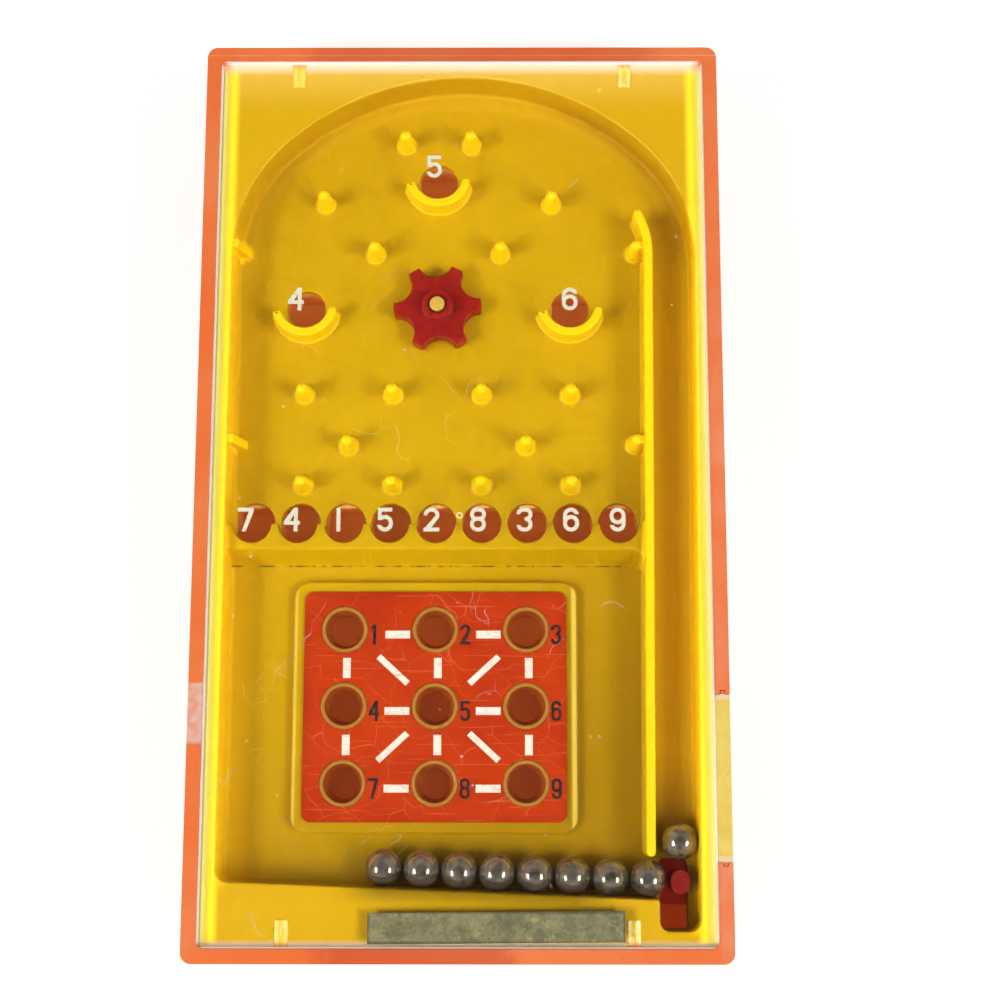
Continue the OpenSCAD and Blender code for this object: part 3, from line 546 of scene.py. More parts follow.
def merged(node: bpy.types.Object, name: str) -> tuple[bpy.types.Mesh, bmesh.types.BMesh]:
    """A bare copy of a CAD node's mesh, and its edit state with doubles and flat edges merged.

    Args:
        node: the CAD node's object.
        name: the copy's name.

    Returns:
        The copy and its edit state, which is still to be written back.
    """
    mesh = node.data.copy()
    mesh.name = name
    mesh.materials.clear()
    work = bmesh.new()
    work.from_mesh(mesh)
    bmesh.ops.remove_doubles(work, verts=work.verts, dist=WELD)
    flat = math.radians(FLAT_DEGREES)
    bmesh.ops.dissolve_limit(work, angle_limit=flat, verts=work.verts, edges=work.edges)
    return mesh, work


def softened(
    node: bpy.types.Object, name: str, width: float, steps: int = 2, angle: float = 35.0
) -> bpy.types.Object:
    """A merged copy of a CAD node with its edges rounded.

    Args:
        node: the CAD node's object.
        name: the new piece's name.
        width: the rounding's width in millimetres.
        steps: segments of the rounding.
        angle: edges that turn by more than this are rounded.

    Returns:
        The new piece.
    """
    mesh, work = merged(node, name)
    work.to_mesh(mesh)
    work.free()
    piece = placed(mesh, name)
    bevel = piece.modifiers.new("edges", "BEVEL")
    bevel.width = width * MM
    bevel.segments = steps
    bevel.limit_method = "ANGLE"
    bevel.angle_limit = math.radians(angle)
    settled(piece)
    shaded(piece.data, 40)
    return weighted(piece)


def outlined(
    node: bpy.types.Object, name: str, width: float, body: Body, finish: Finish, edge: Finish
) -> bpy.types.Object:
    """A merged copy of a printed CAD node whose upper faces have a border in a second finish.

    Args:
        node: the CAD node's object.
        name: the new piece's name.
        width: the border's width in millimetres.
        body: the body that it rides on.
        finish: the ink.
        edge: the border's finish.

    Returns:
        The dressed piece.
    """
    mesh, work = merged(node, name)
    upper = [face for face in work.faces if face.normal.z > 0.9]
    border = bmesh.ops.inset_region(
        work, faces=upper, thickness=width * MM, use_boundary=True, use_even_offset=True
    )
    for face in work.faces:
        face.material_index = 0
    for face in border["faces"]:
        face.material_index = 1
    work.to_mesh(mesh)
    work.free()
    shaded(mesh, 30)
    piece = carried(placed(mesh, name), body, finish, [node.name])
    piece.data.materials.append(edge.material())
    return piece


def carried(
    piece: bpy.types.Object, body: Body | str, finish: Finish, nodes: Sequence[str] = ()
) -> bpy.types.Object:
    """Dresses a new piece, lets it ride on its body and hides the CAD nodes it stands for.

    Args:
        piece: the piece.
        body: the body that it rides on.
        finish: its finish.
        nodes: names of the CAD nodes.

    Returns:
        The same piece.
    """
    piece.data.materials.clear()
    piece.data.materials.append(finish.material())
    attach(piece, body.value if isinstance(body, Body) else body)
    if nodes:
        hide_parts(*nodes)
    LOG.info("%s: %d faces", piece.name, len(piece.data.polygons))
    return piece


# Finishes


def paint(red: float, green: float, blue: float) -> tuple[float, float, float, float]:
    """A screen colour of 0 to 255 as the linear colour that a socket takes.

    Args:
        red: its red.
        green: its green.
        blue: its blue.

    Returns:
        Red, green, blue and alpha.
    """
    raw = np.array([red, green, blue]) / 255
    line = np.where(raw <= 0.04045, raw / 12.92, ((raw + 0.055) / 1.055) ** 2.4)
    return (float(line[0]), float(line[1]), float(line[2]), 1.0)


class Wire:
    """A node's output. Arithmetic with numbers and other wires adds Math nodes to its graph."""

    def __init__(self, graph: Graph, socket: bpy.types.NodeSocket) -> None:
        """Holds the output socket and the graph that it is in."""
        self.graph = graph
        self.socket = socket

    def __add__(self, other: Value) -> Wire:
        """The sum of the two."""
        return self.graph.math("ADD", self, other)

    def __sub__(self, other: Value) -> Wire:
        """This less the other."""
        return self.graph.math("SUBTRACT", self, other)

    def __rsub__(self, other: float) -> Wire:
        """A number less this."""
        return self.graph.math("SUBTRACT", other, self)

    def __mul__(self, other: Value) -> Wire:
        """The product of the two."""
        return self.graph.math("MULTIPLY", self, other)

    def __or__(self, other: Value) -> Wire:
        """The higher of the two."""
        return self.graph.math("MAXIMUM", self, other)

    def __abs__(self) -> Wire:
        """The value without its sign."""
        return self.graph.math("ABSOLUTE", self, 0.0)

    def step(self, low: float, high: float, start: float = 0.0, end: float = 1.0) -> Wire:
        """Runs smoothly from start to end while the value goes from low to high."""
        sockets = {"Value": self, "From Min": low, "From Max": high, "To Min": start, "To Max": end}
        return self.graph.add("MapRange", sockets, interpolation_type="SMOOTHSTEP")

    def window(self, middle: float, half: float, soft: float) -> Wire:
        """1 where the value is within half of the middle, falling to 0 over the soft distance."""
        return abs(self - middle).step(half, half + soft, 1.0, 0.0)


class Graph:
    """A material's nodes, added and joined by short calls. Its place is in millimetres."""

    def __init__(self, name: str) -> None:
        """Makes an empty material with its Object coordinates in millimetres.

        Args:
            name: the material's name.
        """
        self.material = bpy.data.materials.new(name)
        self.material.use_nodes = True
        self.tree = self.material.node_tree
        self.tree.nodes.clear()
        raw = self.add("TexCoord", {}, "Object")
        self.place = self.add("VectorMath", {0: raw, 3: 1 / MM}, operation="SCALE")

    def add(self, kind: str, inputs: dict, out: int | str = 0, **settings: object) -> Wire:
        """Adds a node, sets it, and fills or links its inputs.

        Args:
            kind: the node's type after ShaderNode.
            inputs: socket names or numbers with a value or another node's output.
            out: which output is given back.
            settings: the node's own properties.

        Returns:
            The output.
        """
        node = self.tree.nodes.new("ShaderNode" + kind)
        for key, value in settings.items():
            setattr(node, key, value)
        for key, value in inputs.items():
            if isinstance(value, Wire):
                self.tree.links.new(value.socket, node.inputs[key])
            else:
                node.inputs[key].default_value = value
        return Wire(self, node.outputs[out])

    def math(self, kind: str, first: Value, second: Value) -> Wire:
        """A Math node of the kind."""
        return self.add("Math", {0: first, 1: second}, operation=kind)

    def mix(self, share: Value, first: Value, second: Value) -> Wire:
        """Mixes two colours by the share of the second."""
        return self.add("Mix", {0: share, 6: first, 7: second}, 2, data_type="RGBA")

    def coat(self, base: Value, colour: tuple, share: Value) -> Wire:
        """The base with a screen colour over it, as much of it as the share."""
        return self.mix(share, base, paint(*colour))

    def noise(
        self, scale: float, detail: float = 3.0, rough: float = 0.5, place: Wire | None = None
    ) -> Wire:
        """Cloudy noise; scale is features per millimetre."""
        sockets = {"Vector": place or self.place, "Scale": scale, "Detail": detail, "Roughness": rough}
        return self.add("TexNoise", sockets)

    def axis(self, name: str) -> Wire:
        """One coordinate of the place, X, Y or Z, in millimetres."""
        return self.add("SeparateXYZ", {0: self.place}, name)

    def mark(self, name: str) -> Wire:
        """A number that the mesh notes at its points."""
        return self.add("Attribute", {}, "Fac", attribute_name=name)

    def length(self, place: Wire) -> Wire:
        """How far a place is from the middle."""
        return self.add("VectorMath", {0: place}, "Value", operation="LENGTH")

    def moved(self, shift: tuple, turn: float = 0.0, scale: tuple = (1.0, 1.0, 1.0)) -> Wire:
        """The place after a shift, a turn about Z in degrees and a scale."""
        sockets = {0: self.place, 1: shift, 2: (0.0, 0.0, math.radians(turn)), 3: scale}
        return self.add("Mapping", sockets)

    def hairlines(self, size: float, width: float, share: float, shift: float = 0.0) -> Wire:
        """Thin wandering scratches: the edges of warped cells, kept where a slow noise is high.

        Args:
            size: the cells' size in millimetres.
            width: a line's width in millimetres.
            share: how high the slow noise must be.
            shift: moves the pattern, so that two uses differ.

        Returns:
            1 on a line, 0 off it.
        """
        moved = self.moved((shift, shift * 0.7, 0.0))
        warp = self.add("TexNoise", {"Vector": moved, "Scale": 0.12, "Detail": 2.0}, 1)
        bend = self.add("VectorMath", {0: warp, 3: 9.0}, operation="SCALE")
        bent = self.add("VectorMath", {0: moved, 1: bend}, operation="ADD")
        flat = self.add("VectorMath", {0: bent, 1: (1.0, 1.0, 0.0)}, operation="MULTIPLY")
        sockets = {"Vector": flat, "Scale": 1 / size}
        cells = self.add("TexVoronoi", sockets, "Distance", feature="DISTANCE_TO_EDGE")
        keep = self.noise(0.09, 2.0, 0.5, moved).step(share, share + 0.06)
        return cells.step(0.0, width / size, 1.0, 0.0) * keep

    def streaks(self, turn: float, share: float, fine: float, long: float) -> Wire:
        """Straight scratches: noise stretched along one direction, kept where it is high."""
        stretched = self.moved((3.1, 1.7, 0.0), turn, (long, fine, 0.05))
        return self.noise(1.0, 1.0, 0.4, stretched).step(share, share + 0.05)

    def flecks(self, size: float, reach_mm: float) -> Wire:
        """Small dust specks: places nearer than reach to the middle of cells of the size.

        Args:
            size: the cells' size in millimetres.
            reach_mm: the specks' reach.

        Returns:
            1 in a speck, 0 off it.
        """
        cells = self.add("TexVoronoi", {"Vector": self.place, "Scale": 1 / size}, "Distance")
        lump = cells + self.noise(3.0, 2.0) * 0.12
        return lump.step(reach_mm / size + 0.05, reach_mm / size + 0.09, 1.0, 0.0)

    def bump(self, height: Value, distance: float, strength: float = 1.0) -> Wire:
        """A normal bent by a height; distance is millimetres of relief."""
        return self.add("Bump", {"Height": height, "Distance": distance * MM, "Strength": strength})

    def surface(self, **inputs: Value) -> Wire:
        """The Principled shader with its inputs by name, underscores standing for spaces."""
        return self.add("BsdfPrincipled", {key.replace("_", " "): value for key, value in inputs.items()})

    def done(self, shader: Wire) -> bpy.types.Material:
        """Joins the shader to the material's output.

        Args:
            shader: the surface's shader.

        Returns:
            The material.
        """
        end = self.tree.nodes.new("ShaderNodeOutputMaterial")
        self.tree.links.new(shader.socket, end.inputs["Surface"])
        return self.material


@dataclass(frozen=True)
class Finish:
    """A surface finish, noted with one of the record's slots."""

    name: str
    slot: Slot

    def material(self) -> bpy.types.Material:
        """The finish's material, made once."""
        return bpy.data.materials.get(self.name) or self.made(Graph(self.name))

    def made(self, graph: Graph) -> bpy.types.Material:
        """Builds the material's nodes."""
        raise NotImplementedError


@dataclass(frozen=True)
class Moulded(Finish):
    """Moulded orange plastic: slow colour drift, rubbed scratches, specks and a fine grain, painted
    reflections on the left and right rims, and inside it a painted glow: a lighter colour and a dim
    emission."""

    colour: tuple = (255, 122, 58)
    faded: tuple = (255, 138, 80)
    deep: tuple = (214, 74, 30)
    seam: tuple = (255, 190, 158)
    blush: tuple = (208, 70, 46)
    rim_sheen: tuple = (255, 190, 160)
    rim_reflection: tuple = (240, 206, 190)
    inner: tuple = (255, 202, 120)
    glow: tuple = (255, 100, 40)
    painted_glow_share: float = 0.055
    rough: float = 0.38
    grain: float = 0.006
    seam_y: float = 59.05
    seam_z: tuple = (14.8, 14.95)
    end_y: tuple = (58.0, 58.4)
    top_blush: tuple = (3.0, 22.0, 29.0)
    low_blush: tuple = (-5.0, 13.0, 17.0)
    sheen_x: tuple = (32.3, 33.0)
    sheen_y: tuple = (34.0, 12.0)
    reflection_x: tuple = (-32.3, -32.6)
    reflection_top: tuple = (-25.4, -25.7)
    reflection_foot: tuple = (-33.4, -32.8)
    reflection_z: tuple = (13.0, 14.5)
    inner_x: tuple = (33.3, 33.1)
    inner_y: tuple = (59.1, 58.9)
    back_z: tuple = (0.7, 0.9)
    step_z: tuple = (6.6, 7.4)

    def blushed(self, graph: Graph, across: Wire, along: Wire) -> Wire:
        """Where the two end rims are darker: about their middles, with an uneven border.

        Args:
            graph: the material's graph.
            across: the place's X.
            along: the place's Y.

        Returns:
            The share of the darker colour.
        """
        border = graph.noise(0.35, 3.0) * 6.0
        middle, near, far = self.top_blush
        top = (abs(across - middle) + border).step(near, far, 0.4, 0.0) * along.step(*self.end_y)
        middle, near, far = self.low_blush
        start, end = self.end_y
        low = (abs(across - middle) + border).step(near, far, 0.5, 0.0) * along.step(-start, -end)
        return top | low

    def rubbed(self, graph: Graph, across: Wire, along: Wire, height: Wire) -> Wire:
        """The painted reflection low on the left rim.

        Args:
            graph: the material's graph.
            across: the place's X.
            along: the place's Y.
            height: the place's Z.

        Returns:
            The share of the worn colour.
        """
        band = along.step(*self.reflection_top) * along.step(*self.reflection_foot)
        side = across.step(*self.reflection_x) * height.step(*self.reflection_z)
        return band * side * graph.noise(0.5, 4.0).step(0.35, 0.6, 0.4, 0.9)

    def made(self, graph: Graph) -> bpy.types.Material:
        """Builds the material's nodes.

        Args:
            graph: the finish's empty graph.

        Returns:
            The material.
        """
        across, along, height = graph.axis("X"), graph.axis("Y"), graph.axis("Z")
        base = graph.coat(paint(*self.colour), self.faded, graph.noise(0.06, 4.0).step(0.35, 0.68))
        base = graph.coat(base, self.deep, graph.noise(0.8, 5.0, 0.65).step(0.56, 0.8, 0.0, 0.35))
        marks = graph.hairlines(4.0, 0.05, 0.5) | graph.streaks(70, 0.68, 7.0, 0.15)
        base = graph.coat(base, self.faded, marks * 0.35)
        base = graph.coat(base, self.deep, graph.flecks(5.0, 0.1) * 0.5)
        line = along.window(self.seam_y, 0.02, 0.1) * graph.noise(0.25, 3.0).step(0.3, 0.55, 0.2, 0.6)
        base = graph.coat(base, self.seam, line * height.step(*self.seam_z))
        base = graph.coat(base, self.blush, self.blushed(graph, across, along))
        # painted reflection: a pale sheen on the right rim, stronger on its lower part
        pale = across.step(*self.sheen_x) * graph.noise(0.09, 3.0).step(0.4, 0.6, 0.05, 0.3)
        base = graph.coat(base, self.rim_sheen, pale * along.step(*self.sheen_y, 0.2, 1.0))
        # painted reflection: a pale patch low on the left rim
        base = graph.coat(base, self.rim_reflection, self.rubbed(graph, across, along, height))
        # painted light: inside the case, under the moulding, the colour is lifted and a dim emission
        # added, a painted glow
        within = abs(across).step(*self.inner_x) * abs(along).step(*self.inner_y)
        within = within * height.step(*self.back_z) * height.step(*self.step_z, 1.0, 0.0)
        relief = graph.noise(7.0, 3.0, 0.6) - marks * 0.8
        shader = graph.surface(
            Base_Color=graph.coat(base, self.inner, within),
            Roughness=graph.noise(0.4, 3.0).step(0.3, 0.7, self.rough - 0.08, self.rough + 0.12),
            Specular_IOR_Level=0.35,
            Emission_Color=paint(*self.glow),
            Emission_Strength=within * self.painted_glow_share,
            Normal=graph.bump(relief, self.grain),
        )
        return graph.done(shader)


@dataclass(frozen=True)
class FieldPlastic(Finish):
    """The yellow moulding: painted shade towards the lower right, in the arch and by the walls, painted
    light by the left wall, in the lane, on side walls, strips, raised parts and lug pockets, painted
    highlights and reflections at edges and shoulders, painted shade in the window bores, tan on the window
    collars, dust in the crease under the ledge, a pale gate mark and small scuffs."""

    low: tuple = (200, 160, 4)
    low_dark: tuple = (188, 147, 4)
    shade: tuple = (156, 118, 0)
    lane: tuple = (214, 170, 2)
    shelf: tuple = (203, 159, 12)
    top_pale: tuple = (242, 204, 104)
    strip: tuple = (255, 228, 46)
    strip_edge: tuple = (255, 252, 150)
    left_edge_shade: tuple = (170, 130, 60)
    raised: tuple = (252, 214, 12)
    arch: tuple = (196, 148, 6)
    arch_right_shade: tuple = (166, 118, 4)
    wall: tuple = (248, 196, 12)
    collar: tuple = (166, 114, 44)
    bore: tuple = (158, 74, 26)
    pin_top: tuple = (204, 164, 70)
    gate: tuple = (245, 235, 190)
    pocket: tuple = (255, 232, 60)
    shoulder: tuple = (240, 208, 178)
    pad_edge_highlight: tuple = (255, 228, 100)
    by_balls: tuple = (112, 88, 2)
    dirt: tuple = (62, 40, 12)
    scuff: tuple = (250, 232, 150)
    mottle: tuple = (176, 130, 12)
    low_z: float = 8.3
    high_z: float = 13.2
    shelf_z: float = 13.4
    crease_y: float = -9.72
    crease_x: tuple = (21.8, 22.2)
    pad_x: tuple = (-21.6, 15.2)
    pad_y: tuple = (-28.15, 15.6)
    pad_z: float = 9.2
    tray_y: float = -51.44
    tray_lean: float = 0.0402
    tray_x: tuple = (-17.0, -9.0, 14.0, 22.0)
    left_x: tuple = (-26.3, -29.6)
    lane_x: tuple = (24.3, 24.8)
    strip_x: tuple = (29.7, 30.9)
    edge_x: tuple = (31.1, 32.1)
    line_x: tuple = (-32.02, -32.12)
    top_y: tuple = (56.5, 57.9)
    end_y: tuple = (-57.2, -58.1)

    def ground(self, graph: Graph, across: Wire, along: Wire) -> Wire:
        """The floor's colour, with painted shade towards the lower right and in the arch, and painted
        light by the left wall and in the lane.

        Args:
            graph: the material's graph.
            across: the place's X.
            along: the place's Y.

        Returns:
            The colour.
        """
        drift = graph.noise(0.07, 4.0).step(0.3, 0.7)
        floor = graph.coat(paint(*self.low), self.low_dark, drift * 0.5)
        # painted shade: darker towards the lower right and up in the arch
        floor = graph.coat(floor, self.shade, (along + across * -0.75).step(5.0, -58.0, 0.0, 0.9))
        floor = graph.coat(floor, self.arch, along.step(20.0, 56.0, 0.0, 0.35))
        # painted light: lighter by the left wall, where the left lamp's shadow falls
        left = across.step(*self.left_x, 0.0, 0.45) * along.step(42.0, -50.0, 0.3, 1.0)
        floor = graph.coat(floor, self.wall, left)
        # painted light: a lighter yellow in the deep lane
        lane = across.step(*self.lane_x) * along.step(42.0, 20.0) * along.step(-45.0, -33.0)
        return graph.coat(floor, self.lane, lane)

    def walls(self, graph: Graph, base: Wire, near: Wire, across: Wire, along: Wire, height: Wire) -> Wire:
        """Adds painted shade at the arch's foot, painted light on the side walls and painted shade on the
        arch's right side.

        Args:
            graph: the material's graph.
            base: the colour so far.
            near: how near a wall the place is.
            across: the place's X.
            along: the place's Y.
            height: the place's Z.

        Returns:
            The colour.
        """
        low = height.step(self.low_z, self.high_z, 1.0, 0.0)
        # painted shade at the arch's foot
        base = graph.coat(base, self.arch, near * low * (along.step(28.0, 36.0) * 0.6))
        # painted light on the side walls
        lit = along.step(38.0, 30.0, 0.0, 0.85) * abs(across).step(28.5, 30.2)
        lit = lit * height.step(self.low_z, 10.5, 0.35, 1.0)
        base = graph.coat(base, self.wall, near.step(0.6, 0.9) * lit)
        # painted shade on the arch's right side
        far = across.step(8.0, 17.0) * along.step(37.0, 43.0, 0.0, 0.7)
        return graph.coat(base, self.arch_right_shade, near.step(0.35, 0.9) * (far * low))

    def tops(self, graph: Graph, base: Wire, across: Wire, along: Wire, height: Wire) -> Wire:
        """Adds painted light on the side strips, a painted highlight on their outer edges, painted shade
        at the left outer edge, painted reflections on the shoulders and the shade beside the balls.

        Args:
            graph: the material's graph.
            base: the colour so far.
            across: the place's X.
            along: the place's Y.
            height: the place's Z.

        Returns:
            The colour.
        """
        away, high = abs(across), height.step(11.0, self.high_z)
        # painted light on the side strips
        base = graph.coat(base, self.strip, away.step(*self.strip_x, 0.0, 0.92) * high)
        # painted highlight on the strips' outer edges
        base = graph.coat(base, self.strip_edge, away.step(*self.edge_x, 0.0, 0.85) * high)
        # painted shade at the left outer edge
        base = graph.coat(base, self.left_edge_shade, across.step(*self.line_x, 0.0, 0.6) * high)
        start, full, fade, end = self.tray_x
        under = (along + across * self.tray_lean).step(self.tray_y - 2.6, self.tray_y, 0.0, 0.8)
        shade = under * across.step(start, full) * (across.step(end, fade) * high)
        base = graph.coat(base, self.by_balls, shade * along.step(-40.0, -45.0))
        # painted reflection on the top and bottom shoulders
        shoulder = along.step(*self.top_y, 0.0, 0.9) | along.step(*self.end_y, 0.0, 0.8)
        return graph.coat(base, self.shoulder, shoulder)

    def lines(self, graph: Graph, base: Wire, across: Wire, along: Wire, height: Wire) -> Wire:
        """Adds painted highlights on the pad's two edges and the broken line of dust under the ledge.

        Args:
            graph: the material's graph.
            base: the colour so far.
            across: the place's X.
            along: the place's Y.
            height: the place's Z.

        Returns:
            The colour.
        """
        left, right = self.pad_x
        middle, half = self.pad_y
        pad = height.window(self.pad_z, 0.14, 0.1) * along.window(middle, half, 0.4)
        # painted highlights on the pad's right and left edges
        for edge, wide, share in ((right - 0.35, 0.15, 0.5), (left + 0.12, 0.1, 0.35)):
            base = graph.coat(base, self.pad_edge_highlight, pad * (across.window(edge, wide, 0.35) * share))
        wander = graph.moved((0.0, 0.0, 0.0), 0.0, (0.45, 0.0, 0.0))
        broken = graph.noise(1.0, 4.0, 0.7, wander).step(0.44, 0.56)
        floor = height.step(self.low_z, self.low_z + 0.4, 1.0, 0.0) * across.step(*self.crease_x, 1.0, 0.0)
        line = along.window(self.crease_y, 0.03, 0.13) * broken * floor
        return graph.coat(base, self.dirt, line * 0.85)

    def made(self, graph: Graph) -> bpy.types.Material:
        """Builds the material's nodes.

        Args:
            graph: the finish's empty graph.

        Returns:
            The material.
        """
        across, along, height = graph.axis("X"), graph.axis("Y"), graph.axis("Z")
        # paler towards the top end of the shelf
        shelf = graph.coat(paint(*self.shelf), self.top_pale, along.step(51.0, 57.5, 0.0, 0.3))
        ground = self.ground(graph, across, along)
        base = graph.mix(height.step(self.shelf_z - 0.7, self.shelf_z), ground, shelf)
        near = graph.mark("wall_near")
        base = self.walls(graph, base, near, across, along, height)
        base = self.tops(graph, base, across, along, height)
        # painted light: rail, pegs, ribs and cups painted brighter than the floor
        base = graph.coat(base, self.raised, graph.mark("raised") * 0.85)
        base = graph.coat(base, self.collar, graph.mark("collar"))
        # painted shade: the walls of the window bores painted red brown
        base = graph.coat(base, self.bore, graph.mark("bore"))
        base = graph.coat(base, self.pin_top, graph.mark("pin_top"))
        base = graph.coat(base, self.gate, graph.mark("gate_mark"))
        # painted light: the lug pockets painted a brighter yellow
        base = graph.coat(base, self.pocket, graph.mark("pocket"))
        base = self.lines(graph, base, across, along, height)
        scuffs = graph.hairlines(6.0, 0.04, 0.62, 11.0) * 0.6 | graph.flecks(7.0, 0.12)
        base = graph.coat(base, self.scuff, scuffs * 0.45)
        base = graph.coat(base, self.mottle, graph.noise(0.5, 6.0, 0.7).step(0.55, 0.85, 0.0, 0.3))
        by_wall = near * height.step(self.low_z, self.high_z, 1.0, 0.0)
        relief = graph.noise(5.0, 3.0, 0.6) + scuffs * -0.6
        shader = graph.surface(
            Base_Color=base,
            Roughness=graph.noise(0.5, 3.0).step(0.3, 0.7, 0.28, 0.46) + by_wall * 0.4,
            Specular_IOR_Level=0.16,
            Normal=graph.bump(relief, 0.008),
        )
        return graph.done(shader)


@dataclass(frozen=True)
class ClearPlastic(Finish):
    """Clear plastic with rubbed curves and dust, dull on its cut sides,
    which lets the lamps through."""

    colour: tuple = (254, 254, 252)
    side_x: float = 32.3
    end_y: float = 58.17
    lug_z: float = 13.5
    bend: float = 1.49

    def made(self, graph: Graph) -> bpy.types.Material:
        """Builds the material's nodes.

        Args:
            graph: the finish's empty graph.

        Returns:
            The material.
        """
        lines = graph.hairlines(19.0, 0.03, 0.6) | graph.hairlines(11.0, 0.03, 0.64, 37.0) * 0.7
        lines = (lines | graph.flecks(6.0, 0.06) * 0.8) * 0.4
        side = abs(graph.axis("X")).step(self.side_x - 0.05, self.side_x)
        end = abs(graph.axis("Y")).step(self.end_y - 0.05, self.end_y)
        dull = lines | (side | end) * graph.axis("Z").step(self.lug_z, self.lug_z + 0.1, 0.0, 0.75)
        glass = graph.surface(
            Base_Color=paint(*self.colour),
            Roughness=dull.step(0.0, 1.0, 0.015, 0.6),
            IOR=self.bend,
            Transmission_Weight=1.0 - dull,
            Normal=graph.bump(lines * -1.0, 0.01, 0.6),
        )
        open_air = graph.add("BsdfTransparent", {0: (0.96, 0.96, 0.95, 1.0)})
        shadow = graph.add("LightPath", {}, "Is Shadow Ray")
        return graph.done(graph.add("MixShader", {0: shadow, 1: glass, 2: open_air}))


@dataclass(frozen=True)
class Lug(Finish):
    """The dull clear lugs over the yellow: painted highlights in pale streaks along them, stronger on the
    right and lower lugs, and orange from the case at the end.
    """

    colour: tuple = (236, 196, 54)
    streak_highlight: tuple = (255, 238, 180)
    case: tuple = (244, 140, 92)
    middle_x: float = 22.0
    end_y: float = 57.3

    def made(self, graph: Graph) -> bpy.types.Material:
        """Builds the material's nodes.

        Args:
            graph: the finish's empty graph.

        Returns:
            The material.
        """
        across, along = graph.axis("X"), graph.axis("Y")
        off = abs(abs(across) - self.middle_x)
        fine = graph.noise(1.0, 3.0, 0.6, graph.moved((5.0, 2.0, 0.0), 0.0, (3.4, 0.7, 0.3)))
        # painted highlights: pale streaks along both sides of each lug
        ridge = off.step(0.2, 0.5) * off.step(0.84, 0.6)
        # painted light: the highlights stronger on the right lugs and the lower lugs
        bright = across.step(-1.0, 1.0, 0.45, 1.0) * along.step(1.0, -1.0, 0.6, 1.0)
        pale = ridge * fine.step(0.36, 0.5, 0.6, 0.95) | fine.step(0.5, 0.62, 0.0, 0.6)
        base = graph.coat(paint(*self.colour), self.streak_highlight, pale * bright)
        base = graph.coat(base, self.case, abs(along).step(self.end_y, self.end_y + 0.8, 0.0, 0.75))
        rough = fine.step(0.4, 0.6, 0.15, 0.4)
        return graph.done(graph.surface(Base_Color=base, Roughness=rough, Normal=graph.bump(fine, 0.03)))


@dataclass(frozen=True)
class Ink(Finish):
    """Printed ink: the colour, rubbed through in patches and fine lines to what lies under it."""

    colour: tuple = (255, 238, 220)
    under: tuple = (205, 60, 20)
    edge: tuple = (120, 70, 40)
    wear: float = 0.5
    line: float = 0.4
    rough: float = 0.5

    def made(self, graph: Graph) -> bpy.types.Material:
        """Builds the material's nodes.

        Args:
            graph: the finish's empty graph.

        Returns:
            The material.
        """
        rubbed = graph.noise(1.1, 6.0, 0.75).step(0.55, 0.75, 0.0, self.wear)
        scratch = graph.hairlines(1.6, 0.05, 0.42, 5.0) | graph.streaks(40, 0.66, 9.0, 0.4)
        share = rubbed | scratch * self.line
        tone = graph.coat(paint(*self.colour), self.edge, graph.noise(2.5, 4.0).step(0.4, 0.7, 0.0, 0.12))
        base = graph.coat(tone, self.under, share)
        rough = graph.noise(2.0, 3.0).step(0.3, 0.7, self.rough - 0.1, self.rough + 0.1)
        normal = graph.bump(graph.noise(9.0, 3.0, 0.6) - share * 0.7, 0.01)
        return graph.done(graph.surface(Base_Color=base, Roughness=rough, Normal=normal))


@dataclass(frozen=True)
class PrintedCard(Finish):
    """The glossy printed card: orange red, rubbed pale in patches, scratched, darker at its cut edges."""

    colour: tuple = (181, 53, 3)
    cloud: tuple = (171, 45, 3)
    deep: tuple = (130, 34, 3)
    pale: tuple = (222, 112, 66)
    centre: tuple = (-3.2051, -28.15)
    wide: float = 34.11
    high: float = 29.7
    border: float = 1.6

    def made(self, graph: Graph) -> bpy.types.Material:
        """Builds the material's nodes.

        Args:
            graph: the finish's empty graph.

        Returns:
            The material.
        """
        across = abs(graph.axis("X") - self.centre[0]).step(self.wide / 2 - self.border, self.wide / 2)
        up = abs(graph.axis("Y") - self.centre[1]).step(self.high / 2 - self.border, self.high / 2)
        base = graph.coat(paint(*self.colour), self.cloud, graph.noise(0.12, 4.0).step(0.35, 0.7))
        base = graph.coat(base, self.deep, (across | up) * 0.25)
        base = graph.coat(base, self.deep, graph.noise(0.9, 7.0, 0.75).step(0.58, 0.82, 0.0, 0.35))
        scratch = graph.hairlines(5.0, 0.06, 0.45, 21.0) | graph.streaks(15, 0.68, 6.0, 0.12)
        scratch = scratch | graph.flecks(3.0, 0.08)
        shader = graph.surface(
            Base_Color=graph.coat(base, self.pale, scratch * 0.42),
            Roughness=graph.noise(0.8, 4.0).step(0.3, 0.7, 0.34, 0.5),
            Specular_IOR_Level=0.14,
            Normal=graph.bump(graph.noise(4.0, 4.0, 0.6) - scratch, 0.01),
        )
        return graph.done(shader)


